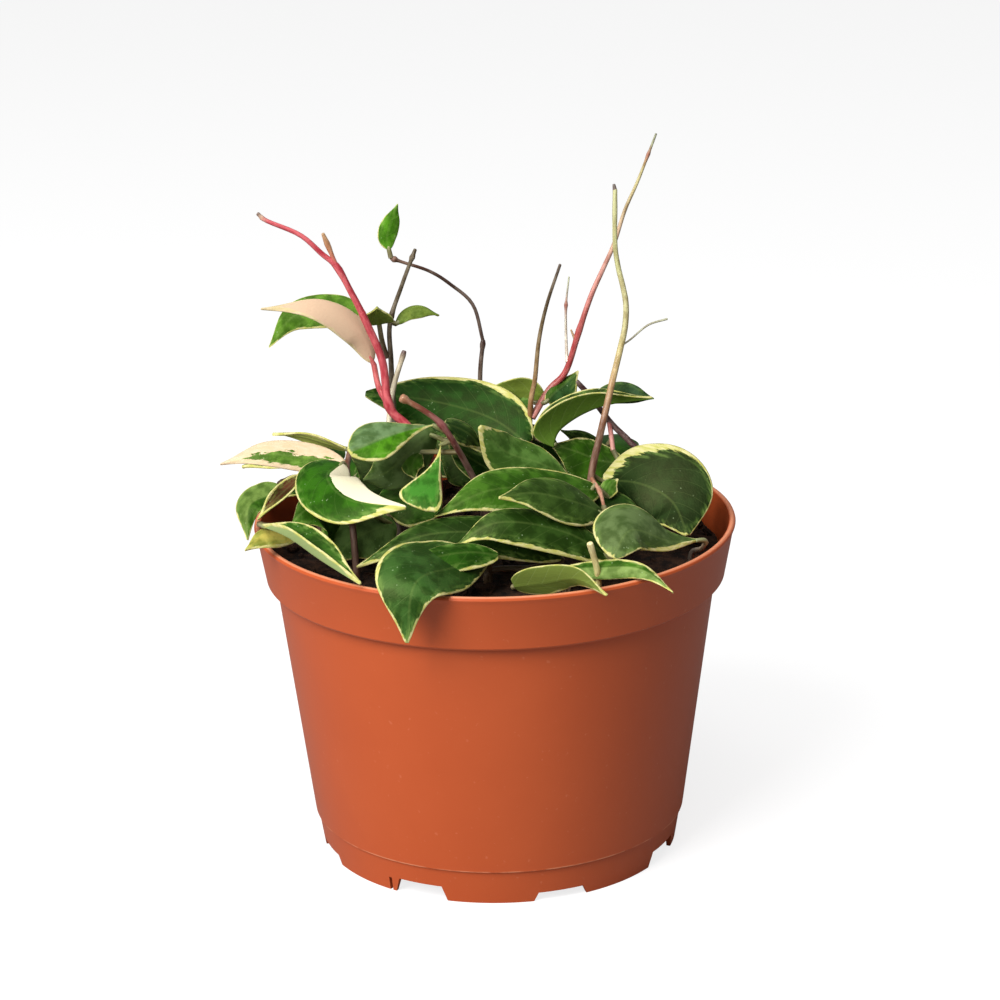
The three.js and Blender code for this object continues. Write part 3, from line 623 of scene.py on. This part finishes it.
def grow(node, shoots, leaves):
    """A leafy stem in place of its solid: one piece for its shoots and one for its leaves."""
    global pieces_grown
    wood = bmesh.new()
    wood.verts.layers.float.new("turn")
    wood.verts.layers.float_color.new("skin")
    wood.verts.layers.float_vector.new("place")
    for shoot in shoots.values():
        pieces_grown += 1
        add_shoot(wood, **shoot)
    # Each petiole runs from the nearest spot of a shoot into the start of its leaf's midrib.
    runs = [[placed(point) for point in shoot["points"]] for shoot in shoots.values()]
    for leaf in leaves.values():
        pieces_grown += 1
        base = placed(leaf["rib"][0])
        into = base.lerp(placed(leaf["rib"][1]), 0.22)
        nearest = min((along(run, k / 40)[0] for run in runs for k in range(41)),
                      key=lambda point: (point - base).length)
        onward = (base - nearest).dot(into - base) > 0 and (base - nearest).length > 1.5 * MM
        run = [nearest, base, into] if onward else [nearest, into]
        colours = leaf.pop("petiole", [(112, 104, 62), (126, 138, 76)])
        add_shoot(wood, run, *PETIOLE_RADII, colours, sides=PETIOLE_SIDES)
    bmesh.ops.recalc_face_normals(wood, faces=wood.faces)
    shoots_piece = piece_from(wood, node + "_shoots", [skin_material], 60)
    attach(shoots_piece, "root")
    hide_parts(node)
    if not leaves:
        return
    foliage = bmesh.new()
    for name in LEAF_MARKS:
        foliage.verts.layers.float.new(name)
    foliage.verts.layers.float_color.new("tone")
    foliage.verts.layers.float_color.new("under_tone")
    foliage.verts.layers.float_vector.new("place")
    for leaf in leaves.values():
        pieces_grown += 1
        add_blade(foliage, **leaf)
    bmesh.ops.recalc_face_normals(foliage, faces=foliage.faces)
    leaves_piece = piece_from(foliage, node + "_leaves", [leaf_material], 180)
    rounding = leaves_piece.modifiers.new("rounding", "SUBSURF")
    rounding.levels = 1
    rounding.render_levels = 1
    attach(leaves_piece, "root")
    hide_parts(node)


crimson = (206, 62, 80)
dusk_red = (164, 42, 60)
rose_beige = (214, 182, 152)
grow("leader_crimson", dict(
    main=dict(points=[(-19, -12), (438, 487, -13), (430, 458, -11), (408, 427, -10.5),
        (389, 406, -10), (382, 360, -9), (362, 313, -9)],
        first=1.8, last=1.2, colours=[dusk_red, dusk_red, crimson, crimson, crimson],
        swellings=((0.72, 0.25, 2.2),)),
    top=dict(points=[(362, 313, -9), (352, 294, -9), (337, 267, -9), (322, 254, -9),
        (300, 235, -9), (267, 221, -9), (258, 214, -9)],
        first=1.1, last=0.6,
        colours=[crimson] * 11 + [(214, 176, 148), (120, 96, 84)],
        swellings=((0.32, 0.3, 2.4), (0.9, 0.2, 1.4))),
    side_bud=dict(points=[(337, 267, -9), (323, 234, -9.5)], first=0.7, last=0.5,
        colours=[crimson, (198, 128, 84), (206, 170, 126)],
        swellings=((0.7, 0.7, 2.6),)),
    petiole=dict(points=[(389, 405, -10), (379, 388, -8), (374, 365, -6)], first=1, last=0.9,
        colours=[crimson, (214, 104, 104)]),
), dict(
    pink=dict(rib=[(373, 363, -6), (356, 331, -8), (316, 309, -11), (258, 309, -15)],
        look=(0, 45), widths=(5, 5), tone=rose_beige, under=rose_beige, blush=0.45,
        patchy=0.0, cream=((0.9, 0.7, 0.7, 1.4), (0.4, 0.4, 0.4, 1.4)),
        petiole=[crimson, (222, 120, 112)]),
    low=dict(rib=[(440, 514, -19), (420, 503, -17), (393, 499, -15.5), (370, 510, -14)],
        look=(0, 45), widths=(9, 9)),
))

# Dark stem. An older shoot behind the leader, nearly black with bark, with a hooked green leaf
# held out to the left, a small olive pair near its top and one dark leaf low down.
bark_dark = (58, 46, 30)
night_green = (26, 56, 14)
meadow = (84, 126, 34)
olive = (104, 122, 46)


def even(width):
    """A cream edge that is equally wide all along a half of the leaf."""
    return (width,) * 4


NO_EDGE = (even(0.1), even(0.1))
grow("stem_dark", dict(
    main=dict(points=[(-31, 4), (397, 460, 4), (393, 400, 4), (391, 360, 4), (390, 323, 5),
        (402, 285, 6), (415, 250, 6)],
        first=1.2, last=0.6, colours=[bark_dark, bark_dark, (78, 66, 38), (84, 72, 42)],
        swellings=((0.74, 0.35, 2), (0.97, 0.6, 1.2))),
    fork=dict(points=[(387, 358, 4), (382, 341, 4), (379, 323, 4)], first=0.9, last=0.8,
        colours=[(84, 64, 36), (112, 104, 50)]),
), dict(
    hooked=dict(rib=[(366, 318, 2), (335, 310, 4), (295, 316, 6), (268, 349, 8)], look=(0, 35),
        widths=(6, 6), tone=meadow, cream=((0.5, 0.6, 0.6, 0.4), even(0.3))),
    olive=dict(rib=[(379, 324, 4), (378, 319, 1), (377, 314, -2), (377, 307, -5)], look=(180, 30),
        widths=(5.3, 5.3), tone=olive, under=olive, cream=NO_EDGE),
    olive_tail=dict(rib=[(396, 324, 6), (408, 314, 8), (424, 311, 9), (440, 316, 10)], look=(0, 50),
        widths=(2.6, 2.6), tone=olive, cream=NO_EDGE),
    behind=dict(rib=[(415, 505, 10), (395, 480, 12), (375, 465, 14), (350, 455, 16)],
        look=(0, 40), widths=(12, 12), tone=night_green, cream=NO_EDGE),
))

# Arching stem. A thin brown shoot that stands at the back and bows over to the left, with one
# small bright leaf upright on its end.
bright_green = (80, 140, 26)
grow("stem_arching", dict(
    upright=dict(points=[(-4, 22), (480, 387, 20), (483, 341, 20)], first=1, last=0.7,
        colours=[(84, 68, 46), (76, 52, 44)], swellings=((0.97, 0.45, 1.8),)),
    arch=dict(points=[(483, 341, 20), (473, 305, 18), (450, 284, 16), (429, 271, 14),
        (402, 262, 11.5), (391, 258, 10.5)],
        first=0.6, last=0.5, colours=[(74, 50, 44), (80, 56, 46), (120, 76, 56)],
        swellings=((0.93, 1.2, 2.6),)),
), dict(
    upright=dict(rib=[(389, 250, 11), (387, 236, 11), (392, 220, 11), (398, 203, 10)], look=(0, 10),
        widths=(3.3, 3.3), tone=bright_green, wave=0.1,
        cream=((0.5, 0.5, 0.3, 0.2), even(0.1))),
))

# Cream stub. A shoot that was cut back and never turned green, cream all the way to its end, where
# the cut has dried dark; soft and round, it leans out behind the crimson leader and has no leaf.
stub = (242, 232, 200)
grow("stub_cream", dict(
    main=dict(points=[(-34, -8), (389, 430, -4), (393, 390, -1.5), (404, 352, 0.5)],
        first=1.1, last=0.8, colours=[stub] * 18 + [(110, 84, 80)],
        swellings=((0.97, 0.25, 1.2),)),
), {})

# Stem with a bulbous end. A reddish shoot cut short above the leaves in the middle, healed to a
# tan knob, with six leaves crowded below it.
bark_red = (84, 46, 38)
moss = (56, 100, 20)
LOW_RIGHT = ((0.3, 0.2, 0.2, 0.5), (1.1, 0.9, 0.8, 0.9))
grow("stem_bulb_end", dict(
    main=dict(points=[(-3, -20), (486, 505, -21), (473, 477, -22), (457, 448, -26),
        (441, 424, -28), (423, 410, -29), (402, 398, -30)],
        first=1.2, last=0.85,
        colours=[bark_red] * 4 + [(92, 42, 36), (132, 38, 46), (134, 70, 52),
        (184, 132, 96)],
        swellings=((0.71, 0.35, 1.8), (0.99, 0.9, 1.3))),
), dict(
    bright=dict(rib=[(440, 424, -20), (411, 430, -24), (381, 439, -30), (348, 454, -36)],
        look=(0, 45), widths=(7, 8), wide=0.74, pull=0.1,
        tone=[bright_green, (104, 132, 88)],
        cream=((1.1, 1.1, 1.0, 1), (0.2, 0.3, 0.4, 0.9))),
    sage=dict(rib=[(436, 430, -14), (410, 451, -18), (386, 472, -20), (362, 480, -22)],
        look=(0, 0), widths=(9, 9), tone=(92, 114, 66), cream=NO_EDGE),
    hanging=dict(rib=[(441, 440, -22), (439, 463, -28), (437, 488, -36), (435, 513, -44)],
        look=(10, 20), widths=(2, 12), wide=0.8, pull=0.05, tone=(60, 124, 38),
        cream=(even(1), (0.8, 0.9, 1, 0.8))),
    right_upper=dict(rib=[(444, 425, -24), (456, 428, -21), (470, 436, -18), (484, 452, -14)],
        look=(0, 45), widths=(4, 5), tone=night_green, cream=LOW_RIGHT),
    right_lower=dict(rib=[(505, 480, -10), (485, 468, -12), (465, 455, -14), (445, 436, -16)],
        look=(0, 45), widths=(6, 5), tone=night_green,
        cream=(even(0.1), (0.8, 0.9, 0.8, 0.6))),
    little=dict(rib=[(421, 452, -17), (414, 460, -19), (412, 469, -20), (416, 480, -21)],
        look=(0, 20), widths=(4, 4), tone=moss, cream=((0.7, 0.7, 0.6, 0.6), even(0.5))),
))

# Long pink stem. The longest shoot, red below, pink and then cream towards its searching tip,
# with a white side shoot, a brown one, a dark red one, and the big leaves of the top row.
beige_pink = (208, 168, 134)
cream_olive = (198, 186, 124)
hair_green = (170, 178, 138)
white_skin = (238, 232, 212)
grow("stem_long_pink", dict(
    dark_red=dict(points=[(45, 10), (636, 456, 10), (630, 442, 11), (612, 424, 13), (590, 396, 15),
        (577, 382, 15)],
        first=1.2, last=0.9, colours=[(80, 44, 46), (88, 48, 50), (76, 48, 48)]),
    main=dict(points=[(532, 418, 8.5), (549, 390, 13), (566, 371, 14), (579, 331, 14),
        (591, 296, 14), (603, 269, 14), (614, 244, 14), (625, 210, 14), (637, 183, 14),
        (648, 155, 14), (656, 134, 14)],
        first=1.2, last=0.35,
        colours=[(200, 116, 106)] * 3 + [(186, 62, 64)] * 4 + [
        (204, 110, 104), (212, 132, 122), (216, 146, 134),
        (216, 154, 140), (214, 158, 142), beige_pink, (210, 176, 142),
        (204, 182, 138), (204, 188, 136), cream_olive, (198, 188, 130),
        (168, 90, 70), hair_green, (138, 144, 116)],
        swellings=((0.3, 0.18, 1.8), (0.9, 0.55, 1.2))),
    main_bud=dict(points=[(577, 344, 14), (571, 330, 14)], first=0.6, last=0.3,
        colours=[(160, 96, 70), (206, 178, 136)]),
    white=dict(points=[(567, 362, 14), (566, 335, 19), (566, 305, 19.5), (569, 277, 20)],
        first=0.55, last=0.25,
        colours=[white_skin] * 4 + [(176, 96, 78), (206, 208, 186), hair_green],
        swellings=((0.66, 0.9, 1.1),)),
    brown=dict(points=[(11, 7), (530, 414, 8), (535, 379, 9), (539, 340, 10), (547, 304, 10),
        (560, 265, 10)],
        first=1.1, last=0.5,
        colours=[(120, 76, 50), (150, 92, 60), (168, 128, 78), (128, 102, 54),
        (96, 80, 44), (78, 62, 48)]),
    pink_low=dict(points=[(609, 421, 13.5), (611, 434, 10), (613, 450, 6)], first=0.8, last=0.8,
        colours=[(196, 108, 106), (206, 138, 126)]),
), dict(
    wavy=dict(rib=[(530, 446, 0), (490, 418, 8), (430, 401, 11), (362, 394, 10)], look=(0, 35),
        widths=(13, 12), pull=0.25, tone=(20, 64, 14), wave=1.4,
        cream=((0.6, 0.4, 0.3, 0.2), (0.6, 2.2, 1.2, 0.1))),
    olive=dict(rib=[(545, 397, 15), (527, 391, 16), (508, 390, 16), (484, 389, 16)], look=(180, 5),
        widths=(5, 5), tone=olive, under=olive, cream=NO_EDGE),
    folded=dict(rib=[(553, 449, 0), (563, 428, 2), (600, 407, 5), (655, 397, 6)],
        look=(180, 20), widths=(9, 10), curl=(20, -20), fold=(125, 0), wide=0.33,
        tone=night_green, under=(84, 114, 38), cream=((0.3, 0.3, 0.2, 0.2), even(0.2))),
    folded_end=dict(rib=[(590, 404, 5), (614, 398, 7), (636, 398, 8), (655, 399, 8)],
        look=(0, 25), widths=(5.5, 2), tone=(58, 88, 58), cream=NO_EDGE),
    right=dict(rib=[(625, 464, 4), (600, 461, 4), (576, 452, 4), (549, 444, 4)], look=(0, 40),
        widths=(10, 7), tone=(44, 82, 10), cream=(even(0.3), (0.8, 0.8, 0.8, 0.6))),
    right_edge=dict(rib=[(606, 447, 12), (590, 442, 12), (575, 436, 12), (560, 430, 12)],
        look=(0, 40), widths=(3, 3), tone=night_green, cream=NO_EDGE),
    curled=dict(rib=[(546, 402, 10), (555, 392, 12), (565, 384, 14), (579, 370, 16)], look=(0, 20),
        widths=(3, 7), tone=[moss, (50, 84, 42)], cream=LOW_RIGHT),
    dark_small=dict(rib=[(532, 402, 12), (525, 407, 11), (519, 415, 9), (514, 427, 7)],
        look=(0, 30), widths=(4, 4), cream=NO_EDGE),
    inner_left=dict(rib=[(500, 470, -4), (475, 455, -2), (455, 446, 0), (430, 440, 2)],
        look=(0, 40), widths=(12, 6), tone=night_green, cream=NO_EDGE),
    inner_right=dict(rib=[(560, 470, 8), (540, 455, 8), (520, 440, 8), (500, 430, 8)],
        look=(0, 40), widths=(9, 9), tone=night_green, cream=NO_EDGE),
))

# Curved pale stem. A bending shoot, brown below and yellow-cream above, with a thread-like
# tendril, and the broad flat leaf at the right among its leaves.
pale_cream = (208, 204, 146)
grow("stem_curved_pale", dict(
    main=dict(points=[(30, -10), (591, 479, -8), (599, 440, -6), (605, 414, -4), (612, 383, -1),
        (620, 350, 2), (625, 327, 3), (626, 305, 3.5), (623, 287, 4), (618, 266, 5),
        (615, 242, 5.5), (615, 190, 6)],
        first=1.35, last=0.75,
        colours=[(96, 58, 44), (96, 58, 44), (118, 74, 54), (112, 72, 46),
        (150, 104, 70), (196, 160, 106), (204, 190, 124), pale_cream,
        pale_cream, pale_cream, (204, 206, 142), (204, 206, 142),
        (206, 208, 150)],
        swellings=((0.97, 0.15, 1.4),)),
    tip=dict(points=[(615, 191, 6), (614, 185, 6)], first=0.75, last=0.5,
        colours=[(92, 68, 62), (112, 104, 98)]),
    tendril=dict(points=[(621, 346, 2.5), (631, 339, 6), (648, 325, 10), (667, 319, 12)],
        first=0.3, last=0.35, colours=[(228, 230, 206), (190, 194, 160)]),
    low=dict(points=[(592, 479, -9), (600, 492, -18), (604, 507, -28)], first=0.7, last=0.55,
        colours=[(176, 122, 92), (206, 146, 120)], swellings=((0.5, 0.35, 1.8),)),
), dict(
    broad=dict(rib=[(600, 480, -6), (640, 484, -6), (672, 502, -12), (688, 537, -24)], look=(0, 25),
        widths=(17, 12), wide=0.52, pull=0.35, tone=(24, 46, 16), wave=0.4,
        cream=((4.2, 3.4, 0.4, 0.3), (0.3, 0.3, 0.5, 0.7))),
    little=dict(rib=[(608, 499, -14), (609, 490, -13), (612, 484, -12), (618, 479, -10)],
        look=(0, 30), widths=(3, 3), tone=moss, cream=LOW_RIGHT),
    middle=dict(rib=[(602, 491, -12), (550, 489, -23), (490, 491, -33), (432, 518, -41)],
        look=(0, 45), widths=(9, 9), tone=(60, 102, 24),
        cream=((1.0, 1.1, 1.0, 0.8), (1.0, 0.9, 0.4, 0.3))),
    front=dict(rib=[(604, 514, -32), (575, 503, -38), (535, 494, -44), (497, 498, -50)],
        look=(0, 50), widths=(8, 8), tone=(56, 82, 30)),
    sage=dict(rib=[(572, 480, -6), (540, 464, -9), (505, 452, -13), (478, 425, -17)], look=(0, 45),
        widths=(9, 8), wide=0.55, pull=0.3, tone=(84, 120, 52),
        cream=((1.4, 1.5, 1.2, 1.6), (0.5, 0.4, 0.4, 1.6))),
    inner=dict(rib=[(560, 520, -16), (590, 510, -14), (620, 515, -18), (650, 540, -26)],
        look=(0, 45), widths=(9, 9), tone=night_green, cream=NO_EDGE),
))

# Low left stem. A brown shoot that rises over the left rim, with the leaf that is half cream, two
# long leaves that reach out past the pot and two broader ones low over the rim.
grow("stem_low_left", dict(
    main=dict(points=[(-43.5, -36), (352, 518, -32), (348, 480, -20), (347, 466, -12), (350, 450, 3)],
        first=1.2, last=0.9, colours=[(84, 48, 34), (100, 58, 40), (124, 70, 44)]),
), dict(
    long=dict(rib=[(347, 466, -6), (310, 459, -1), (262, 455, 0), (218, 465, 0)], look=(0, 40),
        widths=(4.5, 6), blush=0.6, tone=meadow,
        cream=((1.4, 1.2, 1.6, 2), (3, 4.6, 4.4, 5))),
    narrow=dict(rib=[(350, 450, 4), (326, 442, 6), (300, 435, 8), (271, 434, 10)], look=(180, 40),
        widths=(2.5, 3), under=(160, 168, 84)),
    half_cream=dict(rib=[(343, 463, -14), (327, 478, -28), (350, 501, -42), (409, 508, -50)],
        look=(0, 45), widths=(9.5, 11), tone=(44, 94, 12),
        cream=((10, 12, 12, 8), (0.5, 0.5, 0.8, 3))),
    wide=dict(rib=[(351, 520, -20), (330, 511, -25), (310, 508, -30), (291, 525, -36)],
        look=(0, 45), widths=(14, 6), tone=moss, cream=NO_EDGE),
    low=dict(rib=[(396, 522, -20), (374, 530, -25), (350, 543, -31), (332, 566, -39)],
        look=(0, 40), widths=(9, 9), tone=(88, 116, 60),
        cream=(even(0.4), (0.4, 0.5, 0.6, 0.5))),
))

# Front right vine. A low runner just inside the rim, with one long leaf over the soil, two
# narrow leaves lying out across the rim and a cream stub between them.
runner = [(96, 74, 46), (104, 88, 52)]
grow("vine_front_right", dict(
    left=dict(points=[(22, -47), (548, 581, -51), (513, 587, -59)], first=1.1, last=0.9,
        colours=runner),
    right=dict(points=[(22, -47), (592, 572, -45), (616, 562, -41)], first=1.1, last=0.9,
        colours=runner),
    cream_stub=dict(points=[(31.5, -56), (597, 569, -58), (590, 544, -60)], first=1.2, last=0.9,
        colours=[(238, 228, 132), (252, 242, 150), (250, 240, 176)],
        swellings=((0.97, 0.2, 1.6),)),
), dict(
    long=dict(rib=[(614, 560, -40), (563, 532, -44), (499, 523, -48.5), (455, 546, -50)],
        look=(0, 45), widths=(8, 6), tone=(46, 74, 24),
        cream=((1.5, 1.3, 1.1, 0.8), (0.5, 0.3, 0.3, 0.4))),
    on_rim=dict(rib=[(512, 586, -60), (545, 582, -65), (578, 578, -71), (609, 596, -79)],
        look=(180, 15), widths=(5, 6), curl=(10, 10), wide=0.3, under=(108, 124, 54)),
    narrow=dict(rib=[(556, 570, -50), (595, 569, -56), (640, 570, -63), (675, 594, -73)],
        look=(0, 40), widths=(3, 3.5), tone=[moss, (124, 150, 80)], cream=LOW_LEFT),
))

# Front left vine. Another low runner, with the leaf that hangs down over the front of the rim,
# the narrow leaf beside its base and a long dark leaf behind them.
grow("vine_front_left", dict(
    left=dict(points=[(-2, -38), (489, 562, -42), (483, 557, -44)], first=1.1, last=0.9,
        colours=runner),
    right=dict(points=[(-2, -38), (530, 568, -36), (563, 560, -34)], first=1.1, last=0.9,
        colours=runner),
), dict(
    hanging=dict(rib=[(490, 560, -46), (452, 569, -60), (415, 585, -80), (407, 646, -85)],
        look=(0, 40), widths=(9, 15), curl=(-6, -15), wide=0.5, tone=(54, 90, 36),
        cream=((1.0, 0.9, 0.9, 0.6), (0.8, 1.0, 1.1, 0.6))),
    beside=dict(rib=[(500, 556, -50), (467, 553, -54), (430, 560, -60), (406, 577, -66)],
        look=(0, 45), widths=(6, 4), curl=(-10, -10)),
    long=dict(rib=[(565, 558, -34), (505, 536, -40), (425, 536, -46), (353, 569, -52)],
        look=(0, 50), widths=(8, 7), tone=(38, 66, 20)),
))

# Left rim vine. A brown runner that climbs over the left rim, with a hanging leaf, one rolled
# into a trough whose hollow is painted dark reddish-brown as shade, a yellowing one, and a folded
# leaf that lies along the rim to the front.
yellowing = (190, 176, 84)
sage_green = (104, 130, 60)
grow("vine_left_rim", dict(
    up=dict(points=[(-55, -13), (319, 516, -12), (309, 488, -9), (296, 478, -8), (280, 485, -10)],
        first=1.4, last=1.2, colours=[(70, 44, 34), (78, 50, 36), (70, 46, 34)],
        swellings=((0.97, 0.3, 1.5),)),
    out=dict(points=[(-55, -13), (318, 543, -19), (302, 538, -28), (279, 529, -32), (259, 524, -34)],
        first=1.1, last=1, colours=[(70, 44, 34), (104, 84, 50)]),
), dict(
    hanging=dict(rib=[(285, 489, -12), (265, 497, -14), (249, 508, -18), (248, 542, -24)],
        look=(-20, 40), widths=(5, 6.5), tone=[moss, sage_green],
        cream=(even(0.2), (0.2, 0.4, 0.6, 0.3))),
    # The trough leaf's upper face is painted dark reddish-brown: painted shade in its hollow.
    trough=dict(rib=[(302, 476, -10), (290, 487, -15), (274, 502, -21), (257, 520, -28)],
        look=(0, 60), widths=(3.5, 3.5), curl=(70, 70), tone=(86, 42, 30),
        cream=(even(0.6), even(0.6))),
    yellow=dict(rib=[(300, 538, -30), (280, 538, -34), (262, 542, -38), (244, 551, -42)],
        look=(0, 40), widths=(3, 5), tone=yellowing, under=yellowing),
    along_rim=dict(rib=[(259, 524, -34), (289, 537, -44), (322, 560, -56), (363, 585, -68)],
        look=(0, 90), widths=(7, 4.5), curl=(0, 10), fold=(40, 70), wide=0.55,
        under=(150, 168, 108), cream=(even(0.8), even(0.8))),
))

# Right rim vine. A short shoot inside the right rim with one broad green leaf, its grey cast a
# painted sheen, that leans over the soil towards the middle.
grow("vine_right_rim", dict(
    main=dict(points=[(62, -24), (701, 549, -27), (706, 543, -30)], first=1.1, last=0.7,
        colours=[(52, 40, 30), (52, 40, 30), (186, 160, 126)]),
), dict(
    grey=dict(rib=[(704, 540, -31), (669, 542, -38), (631, 531, -46), (612, 560, -54)],
        # The grey in this leaf's grey-green tone is a painted sheen over its green.
        look=(0, 45), widths=(7, 12), wide=0.7, pull=0.15, tone=(92, 112, 66),
        cream=((2.2, 1.2, 0.7, 0.7), (0.2, 0.2, 0.5, 1.4))),
))

# Back vines. Low young shoots behind the rest, out of sight from the front, each with pairs of
# opposite leaves whose turn, length, width and lift come from one seeded run of draws.
BACK_PAIRS = ((0.95, 28), (0.35, 66), (0.65, 116))
BACK_LEAN = 7
BACK_LEAF_LENGTH = 30
BACK_LEAF_HALF = 9
BACK_LEAF_RISE = 4
DRAW_FACTOR = 16807
DRAW_LIMIT = 2147483647
seed = 11


def draw():
    """The next of a run of numbers from 0 to 1 that is the same each time."""
    global seed
    seed = (seed * DRAW_FACTOR) % DRAW_LIMIT
    return seed / DRAW_LIMIT


def back_vine(node, x, y, height, pairs):
    """A vine that leans out from its place on the soil; its first pair of leaves is the highest."""
    outward = math.atan2(x, -y)
    lean = (BACK_LEAN * math.sin(outward), -BACK_LEAN * math.cos(outward))
    top = on_plant(x + lean[0], y + lean[1], SHOOT_START + height)
    points = [(x, y), on_plant(x, y, SHOOT_START + 3), top]
    colours = [(92, 76, 46), (120, 120, 64)]
    shoots = dict(main=dict(points=points, first=1.5, last=1, colours=colours))
    leaves = {}
    for share, turn in BACK_PAIRS[:pairs]:
        for side in (-1, 1):
            way = outward + side * math.radians(turn + 8 * draw())
            long = BACK_LEAF_LENGTH + 6 * draw()
            half = BACK_LEAF_HALF * (0.85 + 0.3 * draw())
            rise = BACK_LEAF_RISE + 3 * draw()
            base = (x + share * lean[0], y + share * lean[1], SHOOT_START + share * height)
            rib = [
                on_plant(base[0] + far * math.sin(way), base[1] - far * math.cos(way), base[2] + up)
                for far, up in ((4, 1), (long / 3, rise), (long * 0.67, rise), (long, rise - 3))
            ]
            leaves[len(leaves)] = dict(rib=rib, look=(math.degrees(way), 75), widths=(half, half))
    grow(node, shoots, leaves)


back_vine("vine_back_left", -46, 30, 11, 3)
back_vine("vine_back_middle", -8, 46, 9, 2)
back_vine("vine_back_right", 30, 30, 8, 2)

# Studio. A plain pale floor and white surroundings, with one large soft light high on the left
# and a weaker one above the front that puts the sheen on the waxy leaves.
FLOOR_HALF = 6
FLOOR_GREY = (0.3, 0.3, 0.3, 1)
WHITE = (1, 1, 1, 1)
LIGHT_AIM = 100


def studio_floor():
    """White as the eye sees it, but grey to the light it throws back, as under a cut-out."""
    material, tree, shader = new_material("studio_floor", Base_Color=FLOOR_GREY, Roughness=0.9)
    lit = add_node(tree, "ShaderNodeBsdfDiffuse", None, Color=FLOOR_GREY)
    white = add_node(tree, "ShaderNodeEmission", None, Color=WHITE, Strength=0.8)
    both = add_node(tree, "ShaderNodeAddShader", None, _0=lit.outputs[0], _1=white.outputs[0])
    seen = add_node(tree, "ShaderNodeLightPath").outputs["Is Camera Ray"]
    mixed = add_node(tree, "ShaderNodeMixShader", None, _0=seen, _1=shader.outputs[0],
                     _2=both.outputs[0])
    tree.links.new(mixed.outputs[0], tree.nodes["Material Output"].inputs["Surface"])
    return material


floor_mesh = bmesh.new()
bmesh.ops.create_grid(floor_mesh, x_segments=1, y_segments=1, size=FLOOR_HALF)
floor = piece_from(floor_mesh, "floor", [studio_floor()])


def soft_light(name, azimuth, elevation, distance, size, power):
    """A square soft box that faces the plant, placed by its bearing from the front."""
    data = bpy.data.lights.new(name, "AREA")
    data.shape = "SQUARE"
    data.size = size
    data.energy = power
    lamp = bpy.data.objects.new(name, data)
    bpy.context.scene.collection.objects.link(lamp)
    a, e = math.radians(azimuth), math.radians(elevation)
    toward = Vector((math.sin(a) * math.cos(e), -math.cos(a) * math.cos(e), math.sin(e)))
    facing = toward.to_track_quat("Z", "Y").to_matrix().to_4x4()
    place = on_plant(0, 0, LIGHT_AIM) + toward * distance
    lamp.matrix_world = Matrix.Translation(place) @ facing


soft_light("key", azimuth=-40, elevation=38, distance=1.5, size=0.9, power=28)
soft_light("sheen", azimuth=-15, elevation=68, distance=1.4, size=0.9, power=9)
world = bpy.data.worlds.new("surroundings")
bpy.context.scene.world = world
world.use_nodes = True
sky = world.node_tree.nodes["Background"]
seen = world.node_tree.nodes.new("ShaderNodeLightPath").outputs["Is Camera Ray"]
glow = math_node(world.node_tree, "MULTIPLY_ADD", seen, 0.78, 0.22)
world.node_tree.links.new(glow, sky.inputs["Strength"])
sky.inputs["Color"].default_value = WHITE
bpy.context.scene.view_settings.view_transform = "Standard"
